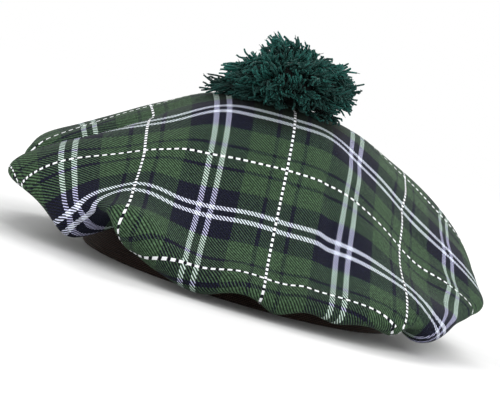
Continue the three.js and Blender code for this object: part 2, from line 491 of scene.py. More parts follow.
    def bump(self, height: Value, distance: float, strength: float = 1.0) -> Socket:
        """A normal that follows a height.

        Args:
            height: the height.
            distance: what a height of 1 is worth, in metres.
            strength: how much of it shows.

        Returns:
            The normal.
        """
        node = self.nodes.new("ShaderNodeBump")
        node.inputs["Strength"].default_value = strength
        node.inputs["Distance"].default_value = distance
        self._feed(node.inputs["Height"], height)
        return node.outputs[0]


# ---------------------------------------------------------------- the finishes
@dataclass(frozen=True)
class Threads:
    """The threads that run one way: their colour, and where they are dark and where they are white."""

    colour: Socket
    dark: Socket
    white: Socket


@dataclass(frozen=True)
class Diagonals:
    """The twill's ribs: the places they are read from, the angle across each, and how high the nap stands."""

    flat: Socket
    angle: Socket
    rise: Socket


@dataclass(frozen=True)
class TartanTwill:
    """Brushed two-and-two twill in a sett that reads the same along and across the cloth.

    Counting d from 0 at the dashed line to 1 at the middle of the dark band, half a repeat away, the sett is
    green with a thin navy line, then navy with a white line on each side of its middle. A line is given by
    its middle and its half-width. Lengths are in millimetres, but for the places of the painted shade round
    the pompom and along the hem, which are in metres.
    """

    span: float = 560.0  # across the cloth map
    half_repeat: float = 41.0
    navy_from: float = 0.575
    thin_line: tuple[float, float] = (0.205, 0.027)
    white_line: tuple[float, float] = (0.915, 0.037)
    dashed_line: float = 0.0175
    dash: tuple[float, float] = (0.5, 0.29)  # its middle and half-length, as shares of the pitch
    warp_dash: float = 3.75  # from one dash to the next
    weft_dash: float = 4.4
    green: Screen = (59, 82, 57)
    navy: Screen = (12, 11, 33)
    white: Screen = (234, 240, 255)
    white_on_green: Screen = (216, 236, 228)
    white_on_navy: Screen = (210, 210, 246)
    weft_white: float = 0.7  # how much whiter the weft's white threads are, which lie uppermost
    dash_white: Screen = (250, 252, 255)
    dash_gap: Screen = (16, 18, 26)
    twill: float = 1.95  # from one diagonal to the next, along a thread
    waver: float = 0.12  # how far a diagonal strays either way, as a share of that
    warp_lean: float = 0.2  # how much wider a white warp thread floats, in the diagonal's sine
    weft_lean: float = -0.25  # and a white weft thread
    crossing: tuple[float, float] = (0.08, 0.38)  # the sine at which the weft dives and the warp comes up
    groove: Step = (-1.0, 0.4, 0.15, 1.2)  # painted shade in the groove and painted highlight on the top of the rib: brightness from one to the other
    # the same painted shade and highlight on white threads
    white_groove: Step = (-0.8, 0.8, 0.12, 1.53)
    slubs: Grain = Grain(scale=0.6, detail=2.0, roughness=0.8, low=0.3, high=0.7, start=0.55, end=1.45)
    fading: Grain = Grain(scale=0.02, detail=3.0, low=0.25, high=0.75, start=0.93, end=1.07)
    fluff: Grain = Grain(scale=1.4, detail=2.0, roughness=0.7, low=0.45, high=0.75, start=0.0, end=0.13)
    fluff_colour: Screen = (124, 140, 148)
    yarn_offset: float = 0.0048  # of the pompom from the hat's middle, in metres to the left, where the painted shadow is centred
    yarn_edge: tuple[float, float] = (0.032, 0.046)  # where the painted shadow round the pompom's foot starts and ends, from the pompom's middle, in metres
    painted_yarn_shadow: float = 0.35  # painted shadow round the pompom's foot: brightness of the cloth there, and of its white threads
    painted_yarn_shadow_white: float = 0.9
    hem_shade_edge: tuple[float, float] = (0.004, 0.032)  # painted shade along the low hem: heights in metres
    hem: float = 0.68  # painted shade: brightness at the lowest hem

    def _millimetres(self, sketch: Sketch, name: str) -> tuple[Socket, Socket]:
        """Reads a cloth map.

        Args:
            sketch: the material.
            name: the map's name.

        Returns:
            Places along the weft and the warp, from the middle of the map's span.
        """
        u, v, _ = sketch.split(sketch.place(name))
        half = -0.5 * self.span
        return sketch.add_times(u, self.span, half), sketch.add_times(v, self.span, half)

    def _across_sett(self, sketch: Sketch, across: Socket) -> Socket:
        """A distance as d: there and back between 0 and 1, over each half repeat."""
        return sketch.math(Op.PINGPONG, sketch.math(Op.DIVIDE, across, self.half_repeat), 1.0)

    def _threads(self, sketch: Sketch, across: Socket) -> Threads:
        """The threads that lie at a distance across the sett.

        Args:
            sketch: the material.
            across: the distance in millimetres.

        Returns:
            Their colour, and whether they are dark or white.
        """
        d = self._across_sett(sketch, across)
        navy = sketch.math(Op.GREATER_THAN, d, self.navy_from)
        thin = sketch.math(Op.COMPARE, d, *self.thin_line)
        dark = sketch.math(Op.MAXIMUM, navy, thin)
        white = sketch.math(Op.COMPARE, d, *self.white_line)
        return Threads(sketch.mix(dark, linear(self.green), linear(self.navy)), dark, white)

    def _lit(self, sketch: Sketch, own: Threads, other: Threads, clean: float) -> Socket:
        """One way's colour, its white threads tinted by the fluff of what they cross.

        Args:
            sketch: the material.
            own: the threads that show.
            other: the threads that they cross.
            clean: how little of the tint they take, 0 to 1.

        Returns:
            The colour.
        """
        tint = sketch.mix(other.dark, linear(self.white_on_green), linear(self.white_on_navy))
        tint = sketch.mix(clean, tint, linear(self.white))
        tint = sketch.mix(other.white, tint, linear(self.white))
        return sketch.mix(own.white, own.colour, tint)

    def _diagonals(self, sketch: Sketch) -> Diagonals:
        """The twill's ribs, which run where the weft's and the warp's places add up to the same.

        Args:
            sketch: the material.

        Returns:
            Their places, an angle that turns once from one groove to the next, and less its cosine.
        """
        right, up = self._millimetres(sketch, "threads")
        flat = sketch.join(right, up)
        waver = sketch.add_times(sketch.noise(flat, scale=0.9, detail=1.0), 2.0 * self.waver, -self.waver)
        phase = sketch.math(Op.DIVIDE, sketch.math(Op.ADD, right, up), self.twill)
        angle = sketch.times(sketch.math(Op.ADD, phase, waver), TURN)
        return Diagonals(flat, angle, sketch.times(sketch.math(Op.COSINE, angle), -1.0))

    def _woven(self, sketch: Sketch, ribs: Diagonals, warp: Threads, weft: Threads) -> tuple[Socket, Socket]:
        """The weave: the warp floats over the first half of each diagonal and the weft over the rest.

        Args:
            sketch: the material.
            ribs: the diagonals.
            warp: the threads that run up the cloth.
            weft: the threads that run across it.

        Returns:
            The cloth's colour, and where the uppermost thread is white.
        """
        lean = sketch.add_times(weft.white, self.weft_lean, sketch.times(warp.white, self.warp_lean))
        over = sketch.ramp(sketch.math(Op.ADD, sketch.math(Op.SINE, ribs.angle), lean), *self.crossing)
        weft_colour = self._lit(sketch, weft, warp, clean=self.weft_white)
        cloth = sketch.mix(over, weft_colour, self._lit(sketch, warp, weft, clean=0.0))
        white = sketch.mix(over, weft.white, warp.white)
        # painted shade in the twill's grooves and painted highlight on its ribs' tops
        own_groove = sketch.ramp(ribs.rise, *self.groove)
        groove = sketch.mix(white, sketch.ramp(ribs.rise, *self.white_groove), own_groove)
        slubs = sketch.mix(white, sketch.grain(ribs.flat, self.slubs), WHITE)
        tone = sketch.times(slubs, sketch.times(groove, sketch.grain(ribs.flat, self.fading)))
        cloth = sketch.scaled(cloth, tone)
        return sketch.mix(sketch.grain(ribs.flat, self.fluff), cloth, linear(self.fluff_colour)), white

    def _dash_line(
        self, sketch: Sketch, across: Socket, along: Socket, pitch: float
    ) -> tuple[Socket, Socket]:
        """The dashed lines that run one way.

        Args:
            sketch: the material.
            across: the distance across them in millimetres.
            along: the distance along them.
            pitch: from one dash to the next.

        Returns:
            Where the line runs, and where a white dash shows on it.
        """
        line = sketch.math(Op.LESS_THAN, self._across_sett(sketch, across), self.dashed_line)
        beat = sketch.math(Op.FRACT, sketch.math(Op.DIVIDE, along, pitch))
        return line, sketch.times(line, sketch.math(Op.COMPARE, beat, *self.dash))

    def _dashed(self, sketch: Sketch, cloth: Socket, x: Socket, y: Socket) -> tuple[Socket, Socket]:
        """The cloth with its dashed lines laid on.

        Args:
            sketch: the material.
            cloth: the cloth's colour.
            x: places along the weft in millimetres.
            y: places along the warp.

        Returns:
            The colour, and where a dash shows.
        """
        warp_line, warp_dash = self._dash_line(sketch, x, y, self.warp_dash)
        weft_line, weft_dash = self._dash_line(sketch, y, x, self.weft_dash)
        dashes = sketch.math(Op.MAXIMUM, warp_dash, weft_dash)
        cloth = sketch.mix(sketch.math(Op.MAXIMUM, warp_line, weft_line), cloth, linear(self.dash_gap))
        return sketch.mix(dashes, cloth, linear(self.dash_white)), dashes

    def _painted_shade(self, sketch: Sketch, white: Socket) -> Socket:
        """Painted shade: how much darker the cloth is painted round the pompom's foot, as its shadow, and
        along the low hem.

        Args:
            sketch: the material.
            white: where the cloth is white, which shows less of it under the pompom.

        Returns:
            What the colour is multiplied by.
        """
        x, y, z = sketch.split(sketch.place())
        around = sketch.squared_reach(sketch.math(Op.ADD, x, self.yarn_offset), y)
        near, far = self.yarn_edge
        # painted shadow round the pompom's foot, lighter on white threads
        painted_yarn_shadow = sketch.ramp(around, near**2, far**2, start=self.painted_yarn_shadow)
        painted_yarn_shadow = sketch.math(Op.MAXIMUM, painted_yarn_shadow, sketch.times(white, self.painted_yarn_shadow_white))
        # painted shade along the low hem
        return sketch.times(painted_yarn_shadow, sketch.ramp(z, *self.hem_shade_edge, start=self.hem))

    def material(self) -> bpy.types.Material:
        """The cloth, read from its two flat maps: the sett follows the drawn one, the twill the undrawn one.

        Returns:
            A material whose maps run 0 to 1 over `span` millimetres, with u along the weft.
        """
        sketch = Sketch("tartan twill")
        x, y = self._millimetres(sketch, "sett")
        ribs = self._diagonals(sketch)
        cloth, white = self._woven(sketch, ribs, warp=self._threads(sketch, x), weft=self._threads(sketch, y))
        cloth, dashes = self._dashed(sketch, cloth, x, y)
        # painted shade: the pompom's shadow on the cloth, and the darker low hem
        cloth = sketch.scaled(cloth, self._painted_shade(sketch, sketch.math(Op.MAXIMUM, white, dashes)))
        fuzz = sketch.noise(ribs.flat, scale=4.0)
        raised = sketch.math(Op.MAXIMUM, sketch.ramp(ribs.rise, -1.0, 0.5), dashes)
        sketch.shade(
            Base_Color=cloth,
            Roughness=sketch.ramp(fuzz, 0.2, 0.8, start=0.82, end=0.95),
            Specular_IOR_Level=0.12,
            Sheen_Weight=0.02,
            Sheen_Roughness=0.45,
            Sheen_Tint=(0.85, 0.95, 0.9, 1.0),
            Normal=sketch.bump(sketch.add_times(fuzz, 0.5, raised), distance=0.00012, strength=0.8),
        )
        return sketch.material


@dataclass(frozen=True)
class RibbedKnit:
    """Dull black elastic: fine knitted stitches in rows that follow the ribs; painted highlight on crests and
    loops.
    """

    stitch: float = 1.1  # millimetres
    light: Screen = (88, 70, 62)
    dark: Screen = (3, 2, 3)
    crest_lit: float = 0.75  # what each adds to the light: painted highlight on a rib's crest and a stitch's loop, and lint
    loop_lit: float = 0.12
    lint_lit: float = 0.4
    dimmed: float = -0.15
    lit: tuple[float, float] = (0.35, 1.05)  # the light at which the elastic is darkest, and lightest

    def material(self, radius: float) -> bpy.types.Material:
        """The elastic, read from its own ring map.

        Args:
            radius: the band's outer radius in millimetres, which the map's u goes once round.

        Returns:
            A material whose stitches slant to and fro from rib to rib.
        """
        sketch = Sketch("ribbed elastic")
        u, v, _ = sketch.split(sketch.place("ring"))
        rib = sketch.math(Op.PINGPONG, v, 0.5)
        stitches = round(TURN * radius / self.stitch)
        slant = sketch.add_times(u, float(stitches), rib)
        loop = sketch.math(Op.SINE, sketch.times(slant, TURN))
        crest = sketch.math(Op.SINE, sketch.times(rib, TURN))
        lint = sketch.noise(sketch.place(), scale=900.0, detail=3.0)
        # painted highlight on the stitches' loops and the ribs' crests, with lint at random
        lit = sketch.add_times(loop, self.loop_lit, sketch.add_times(lint, self.lint_lit, self.dimmed))
        lit = sketch.ramp(sketch.add_times(crest, self.crest_lit, lit), *self.lit)
        height = sketch.add_times(loop, 0.35, sketch.times(lint, 0.5))
        sketch.shade(
            Base_Color=sketch.mix(lit, linear(self.dark), linear(self.light)),
            Roughness=sketch.ramp(lint, 0.3, 0.7, start=0.72, end=0.88),
            Specular_IOR_Level=0.15,
            Sheen_Weight=0.05,
            Sheen_Roughness=0.4,
            Normal=sketch.bump(height, distance=0.00015),
        )
        return sketch.material


@dataclass(frozen=True)
class BulkyYarn:
    """Bottle green yarn of two plies wound together: each yarn's own tone, painted lighter if it points up,
    and painted shade towards its root and between the plies.
    """

    tip: Screen = (24, 74, 68)
    # painted shade: near black at the root, deep in the pompom where shade falls
    root: Screen = (1, 12, 12)
    painted_root_shade: tuple[float, float] = (0.3, 1.05)  # shares of the yarn's length over which the painted shade at the root lifts
    winding: float = 3.4  # millimetres for one turn of the plies
    # brightness from the tone: random, and painted lighter on yarns that point up
    tone_and_painted_light: Step = (0.1, 0.9, 0.5, 1.6)
    # painted shade in the grooves between the plies, painted highlight on their crowns
    ply_shade: Step = (0.0, 0.7, 0.45, 1.1)

    def material(self) -> bpy.types.Material:
        """The yarn, read from its own map and from the numbers that the mesh carries.

        Returns:
            A material that reads the map `yarn` and the numbers `tone` and `reach`.
        """
        sketch = Sketch("bottle green yarn")
        reach = sketch.attribute("reach")
        tone = sketch.attribute("tone")
        u, v, _ = sketch.split(sketch.place("yarn"))
        turns = sketch.add_times(v, 1.0 / self.winding, sketch.times(u, 2.0))
        groove = sketch.math(Op.ABSOLUTE, sketch.math(Op.SINE, sketch.times(turns, math.pi)))
        fleck = sketch.noise(sketch.place(), scale=1500.0)
        # painted shade: near black at the root, lifting to the yarn's colour towards its tip
        colour = sketch.mix(sketch.ramp(reach, *self.painted_root_shade), linear(self.root), linear(self.tip))
        flecked = sketch.ramp(fleck, 0.3, 0.7, start=0.7, end=1.25)
        # the tone: random, and painted light on yarns that point up
        shade = sketch.times(sketch.ramp(tone, *self.tone_and_painted_light), flecked)
        # painted shade in the grooves between the plies
        shade = sketch.times(shade, sketch.ramp(groove, *self.ply_shade))
        height = sketch.math(Op.ADD, groove, sketch.times(fleck, 0.4))
        sketch.shade(
            Base_Color=sketch.scaled(colour, shade),
            Roughness=sketch.ramp(fleck, 0.2, 0.8, start=0.6, end=0.8),
            Specular_IOR_Level=0.25,
            Sheen_Weight=0.1,
            Sheen_Roughness=0.35,
            Sheen_Tint=(0.6, 1.0, 0.9, 1.0),
            Normal=sketch.bump(height, distance=0.00022, strength=0.8),
        )
        return sketch.material


@dataclass(frozen=True)
class StudioPaper:
    """Pale matt paper, a little uneven, that turns into the same light as the air round it far away."""

    pale: float = 0.9
    air: float = 1.0
    fades: tuple[float, float] = (0.5, 2.4)  # metres from the hat
    grain: Grain = Grain(scale=60.0, detail=3.0, low=0.2, high=0.8, start=0.99, end=1.01)

    def material(self) -> bpy.types.Material:
        """The paper, read from its distance to the origin.

        Returns:
            The material.
        """
        sketch = Sketch("studio paper")
        x, y, _ = sketch.split(sketch.place())
        far = sketch.ramp(sketch.math(Op.SQRT, sketch.squared_reach(x, y)), *self.fades)
        pale = sketch.times(sketch.grain(sketch.place(), self.grain), self.pale)
        base = sketch.times(pale, sketch.math(Op.SUBTRACT, 1.0, far))
        sketch.shade(
            Base_Color=sketch.join(base, base, base),
            Roughness=0.9,
            Specular_IOR_Level=0.0,
            Emission_Color=WHITE,
            Emission_Strength=sketch.times(far, self.air),
        )
        return sketch.material


# ---------------------------------------------------------------- the crown
@dataclass(frozen=True)
class Station:
    """A point of the crown's mean profile."""

    radius: float
    height: float


@dataclass(frozen=True)
class Fold:
    """A fold, lobe or hollow of the cloth.

    It acts round an azimuth, within `spread` degrees each way, and between two stations of the profile. It
    moves the cloth out and up in millimetres and leans it round in degrees, fading to nothing at its edges.
    """

    name: str
    azimuth: float
    spread: float
    first: float
    last: float
    out: float
    up: float
    lean: float = 0.0

    def along(self, station: np.ndarray) -> np.ndarray:
        """How strongly it acts at each station: a hump from the first to the last."""
        return hump_over(station, self.first, self.last)

    def around(self, azimuth: np.ndarray) -> np.ndarray:
        """How strongly it acts at each azimuth: a hump over the shorter way round."""
        return hump(turned_from(azimuth, self.azimuth) / self.spread)


@dataclass(frozen=True)
class Pleats:
    """Even gathers round the crown, fading out towards two places on the profile."""

    count: int
    depth: float
    first: float
    last: float
    wander: float = 0.0

    def height(self, azimuth: np.ndarray, u: np.ndarray) -> np.ndarray:
        """The pleats over a grid: a cosine of the azimuth, whose phase wanders by three slow sines.

        Args:
            azimuth: degrees, one for each column.
            u: places along the profile, one for each row.

        Returns:
            How far they stand out in millimetres, indexed by row and column.
        """
        turn = np.radians(azimuth)
        drift = self.wander * (np.sin(5.0 * turn + 1.0) + np.sin(11.0 * turn) + np.sin(17.0 * turn + 2.0))
        strength = hump_over(u, self.first, self.last)
        return self.depth * strength[:, None] * np.cos(self.count * turn + drift)[None, :]


PROFILE: tuple[Station, ...] = (
    Station(0.0, 107.5),  # 0 top, under the pompom
    Station(26.0, 107.0),
    Station(52.0, 99.0),
    Station(76.0, 84.5),
    Station(99.0, 68.0),
    Station(122.0, 51.0),  # 5 slope
    Station(142.0, 37.0),
    Station(144.0, 17.0),  # 7 outer edge
    Station(129.0, 4.5),  # 8 lowest droop
    Station(112.0, 16.0),
    Station(101.0, 31.0),  # 10 tucked up over the headband
    Station(91.0, 29.0),  # 11 seam
)

FOLDS: tuple[Fold, ...] = (
    Fold("front slope", azimuth=-88, spread=90, first=0.0, last=9.0, out=0, up=-28),
    Fold("front tuck", azimuth=-88, spread=48, first=3.5, last=10.0, out=-10, up=0),
    Fold("front dip", azimuth=-102, spread=9, first=6.0, last=10.0, out=1, up=-1),
    Fold("front rise", azimuth=-88, spread=10, first=6.0, last=10.0, out=0, up=9),
    Fold("bow rise", azimuth=-72, spread=9, first=6.0, last=10.0, out=0, up=8),
    Fold("right bow rise", azimuth=-58, spread=14, first=6.0, last=10.0, out=0, up=7),
    Fold("notch", azimuth=-45, spread=6, first=6.0, last=10.0, out=-5, up=9),
    Fold("right lobe", azimuth=-35, spread=14, first=5.0, last=9.5, out=2, up=1),
    Fold("right front", azimuth=-18, spread=42, first=0.5, last=7.5, out=0, up=-18),
    Fold("right valley", azimuth=-18, spread=16, first=4.0, last=9.0, out=-6, up=-2),
    Fold("right end", azimuth=-4, spread=30, first=1.5, last=7.5, out=0, up=5),
    Fold("right chin", azimuth=-18, spread=22, first=6.3, last=9.7, out=-6, up=3),
    Fold("right hem", azimuth=-2, spread=34, first=5.8, last=11.0, out=-3, up=24),
    Fold("right brow", azimuth=19, spread=24, first=4.3, last=6.3, out=9, up=0),
    Fold("right tip", azimuth=6, spread=22, first=4.6, last=8.6, out=-7, up=0),
    Fold("right corner", azimuth=-30, spread=14, first=5.2, last=9.0, out=-6, up=0),
    Fold("right shoulder", azimuth=34, spread=26, first=2.0, last=8.0, out=-1, up=12),
    Fold("back fullness", azimuth=90, spread=125, first=0.5, last=10.5, out=-8, up=19),
    Fold("back right lobe", azimuth=62, spread=18, first=4.0, last=10.0, out=3, up=-4, lean=3),
    Fold("back valley", azimuth=84, spread=13, first=3.8, last=9.5, out=-8, up=2),
    Fold("back lobe", azimuth=108, spread=17, first=4.0, last=10.0, out=3, up=-4, lean=-3),
    Fold("back hollow", azimuth=132, spread=12, first=5.0, last=10.0, out=-8, up=6),
    Fold("back left lobe", azimuth=174, spread=17, first=3.5, last=9.0, out=-2, up=7),
    Fold("left valley", azimuth=-166, spread=10, first=2.5, last=9.5, out=-12, up=-8),
    Fold("left hem", azimuth=-170, spread=42, first=5.8, last=11.0, out=-2, up=23),
    Fold("left lobe", azimuth=-153, spread=16, first=3.6, last=9.2, out=9, up=-1, lean=-3),
    Fold("left crest", azimuth=-151, spread=17, first=2.5, last=6.5, out=0, up=10),
    Fold("left chin", azimuth=-152, spread=22, first=6.5, last=10.3, out=-8, up=12),
    Fold("left shoulder", azimuth=-134, spread=24, first=1.5, last=7.0, out=0, up=10),
    Fold("left front", azimuth=-160, spread=30, first=0.5, last=6.5, out=0, up=-4),
    Fold("left corner", azimuth=-142, spread=14, first=5.6, last=9.2, out=-4, up=1),
    Fold("corner lobe", azimuth=-138, spread=12, first=5.0, last=9.5, out=0, up=-4),
    Fold("hollow", azimuth=-127, spread=10.5, first=5.6, last=10.2, out=-27, up=22),
    Fold("bow lip", azimuth=-121, spread=8, first=4.4, last=7.0, out=6, up=0),
    Fold("left bow rise", azimuth=-118, spread=10, first=6.0, last=10.0, out=0, up=5),
    Fold("ridge", azimuth=-114, spread=16, first=4.0, last=8.5, out=4, up=18, lean=-3),
)


@dataclass(frozen=True)
class Ripple:
    """A soft ridge in the cloth: the azimuth of its upper end, its turn on the way down, and its flanks."""

    name: str
    azimuth: float
    turn: float
    left: float
    right: float
    first: float
    last: float
    height: float

    def over(self, azimuth: np.ndarray, u: np.ndarray) -> np.ndarray:
        """The ridge over a grid: a hump across it, as wide as each flank, times a hump along it.

        Args:
            azimuth: degrees, one for each column.
            u: places along the profile, one for each row.

        Returns:
            How far it stands out in millimetres, indexed by row and column.
        """
        share = np.clip((u - self.first) / (self.last - self.first), 0.0, 1.0)
        line = self.azimuth + self.turn * share
        away = turned_from(azimuth[None, :], line[:, None])
        flank = np.where(away < 0.0, self.left, self.right)
        return self.height * hump(away / flank) * hump(2.0 * share - 1.0)[:, None]


RIPPLES: tuple[Ripple, ...] = (
    Ripple("front crease", azimuth=-64, turn=-11, left=13, right=4.5, first=1.8, last=6.2, height=2.2),
    Ripple("left bow swell", azimuth=-90, turn=0, left=9, right=12, first=4.2, last=7.6, height=2.2),
    Ripple("middle bow swell", azimuth=-74, turn=-1, left=4, right=3.5, first=4.4, last=7.0, height=1.0),
    Ripple("left crest", azimuth=-160, turn=0, left=13, right=12, first=4.2, last=7.4, height=2.6),
    Ripple("back left hem", azimuth=-177, turn=0, left=12, right=9, first=5.7, last=7.5, height=-2.6),
    Ripple("right tip", azimuth=-9, turn=0, left=8, right=9, first=5.7, last=8.1, height=2.6),
    Ripple("right brow", azimuth=15, turn=0, left=11, right=14, first=3.4, last=6.4, height=-2.0),
)


@dataclass(frozen=True)
class ClothSurface:
    """The outer face of the crown, as a function of the azimuth and of a place u along the profile."""

    profile: tuple[Station, ...] = PROFILE
    folds: tuple[Fold, ...] = FOLDS
    gathers: Pleats = Pleats(count=22, depth=1.8, first=7.8, last=11.0)

    @property
    def last(self) -> int:
        """The number of the seam's station, where u ends."""
        return len(self.profile) - 1

    def points(self, azimuth: np.ndarray, u: np.ndarray) -> np.ndarray:
        """The surface over a grid.

        At each azimuth the folds move the stations. A uniform cubic B-spline through them, drawn out so that
        it reaches both ends, gives the radius, the height and the lean; the gathers are added to the first
        two; and the azimuth, leaned round, turns the profile about the axis.

        Args:
            azimuth: degrees, one for each column.
            u: places along the profile, one for each row.

        Returns:
            Positions in millimetres, indexed by row, column and coordinate.
        """
        station = np.arange(len(self.profile), dtype=float)
        shape = np.zeros((3, len(azimuth), len(self.profile)))
        shape[0] += np.array([s.radius for s in self.profile])
        shape[1] += np.array([s.height for s in self.profile])
        for fold in self.folds:
            weight = fold.around(azimuth)[:, None] * fold.along(station)[None, :]
            for row, move in enumerate((fold.out, fold.up, fold.lean)):
                shape[row] += move * weight
        radius, height, lean = shape @ self._spline(u).T
        waves = self.gathers.height(azimuth, u).T
        turn = np.radians(azimuth[:, None] + lean)
        out = radius + waves
        return np.stack([out * np.cos(turn), out * np.sin(turn), height + waves], axis=-1).transpose(1, 0, 2)

    def _spline(self, u: np.ndarray) -> np.ndarray:
        """Uniform cubic B-spline weights, with each end's mirror image standing in past it.

        Args:
            u: places along the profile.

        Returns:
            A matrix with a row for each place and a column for each station.
        """
        i = np.minimum(np.floor(u), self.last - 1).astype(int)
        f = u - i
        near = np.stack(
            [(1 - f) ** 3, 3 * f**3 - 6 * f**2 + 4, -3 * f**3 + 3 * f**2 + 3 * f + 1, f**3],
            axis=1,
        ) / 6.0
        padded = np.zeros((len(u), len(self.profile) + 2))
        padded[np.arange(len(u))[:, None], i[:, None] + np.arange(4)[None, :]] = near
        weights = padded[:, 1:-1].copy()
        weights[:, 0] += 2.0 * padded[:, 0]
        weights[:, 1] -= padded[:, 0]
        weights[:, -1] += 2.0 * padded[:, -1]
        weights[:, -2] -= padded[:, -1]
        return weights


@dataclass(frozen=True)
class Slack:
    """A crease that takes up spare cloth, so that the panels beside it lie flat.

    It is `spread` degrees wide each way, and starts at a place on the profile. It takes up its give, 0 to 1.
    """

    name: str
    azimuth: float
    spread: float
    first: float
    give: float = 0.96


CREASES: tuple[Slack, ...] = (
    Slack("left valley", azimuth=-166, spread=12, first=1.0),
    Slack("hollow", azimuth=-129, spread=12, first=1.5),
    Slack("notch", azimuth=-45, spread=10, first=3.0),
    Slack("right valley", azimuth=-16, spread=14, first=1.0),
    Slack("right back valley", azimuth=34, spread=14, first=1.0),
    Slack("back valley", azimuth=84, spread=13, first=1.0),
    Slack("back hollow", azimuth=134, spread=13, first=1.0),
)


@dataclass(frozen=True)
class Tug:
    """Where the weave is drawn aside on the shaped cloth, by millimetres along the weft and the warp.

    It acts round an azimuth and between two stations, fading to nothing at its edges, as a fold does.
    """

    name: str
    azimuth: float
    spread: float
    first: float
    last: float
    weft: float
    warp: float

    def over(self, azimuth: np.ndarray, u: np.ndarray) -> np.ndarray:
        """The shift over a grid: a hump in each direction times the weft and warp amounts.

        Args:
            azimuth: degrees, one for each column.
            u: places along the profile, one for each row.

        Returns:
            Millimetres along the weft and the warp, indexed by row, column and coordinate.
        """
        around = hump(turned_from(azimuth, self.azimuth) / self.spread)
        along = hump_over(u, self.first, self.last)
        return along[:, None, None] * around[None, :, None] * np.array([self.weft, self.warp])


TUGS: tuple[Tug, ...] = (
    Tug("right shoulder", azimuth=24, spread=36, first=2.2, last=9.0, weft=13, warp=-15),
    Tug("right side", azimuth=-8, spread=46, first=3.0, last=7.6, weft=4, warp=0),
    Tug("right face", azimuth=3, spread=10, first=3.4, last=5.8, weft=3, warp=0),
    Tug("right valley", azimuth=-15, spread=14, first=3.6, last=6.4, weft=-4, warp=0),
    Tug("right chin", azimuth=-34, spread=12, first=4.8, last=7.2, weft=4, warp=0),
    Tug("right lobe", azimuth=-40, spread=9, first=4.9, last=7.1, weft=0, warp=9),
    Tug("right lobe hem", azimuth=-33, spread=9, first=6.6, last=8.8, weft=0, warp=-10),
    Tug("right end", azimuth=-17, spread=17, first=3.4, last=8.0, weft=0, warp=-12),
    Tug("right corner", azimuth=-37, spread=14, first=5.4, last=9.0, weft=15, warp=5),
    Tug("front hem", azimuth=-62, spread=36, first=4.0, last=9.4, weft=-1, warp=-11),
    Tug("front top", azimuth=-80, spread=60, first=0.0, last=4.2, weft=0, warp=3),
    Tug("bow lip", azimuth=-113, spread=14, first=6.2, last=9.6, weft=5, warp=4),
    Tug("ridge", azimuth=-122, spread=12, first=3.6, last=6.2, weft=0, warp=-6),
    Tug("hollow", azimuth=-129, spread=9, first=4.0, last=6.6, weft=0, warp=-4),
    Tug("corner turn", azimuth=-134, spread=12, first=6.3, last=9.7, weft=16, warp=-3),
    Tug("corner lobe", azimuth=-141, spread=12, first=5.8, last=9.4, weft=0, warp=-9),
    Tug("left slope", azimuth=-147, spread=24, first=1.2, last=5.2, weft=0, warp=9),
    Tug("left valley", azimuth=-147, spread=13, first=3.0, last=5.4, weft=0, warp=5),
    Tug("left corner edge", azimuth=-152, spread=12, first=5.4, last=8.2, weft=-14, warp=0),
    Tug("left corner under", azimuth=-152, spread=12, first=6.8, last=10.6, weft=-10, warp=0),
    Tug("back left lobe", azimuth=-172, spread=14, first=4.8, last=7.2, weft=0, warp=10),
    Tug("left end", azimuth=180, spread=26, first=2.4, last=8.0, weft=-7, warp=0),
)


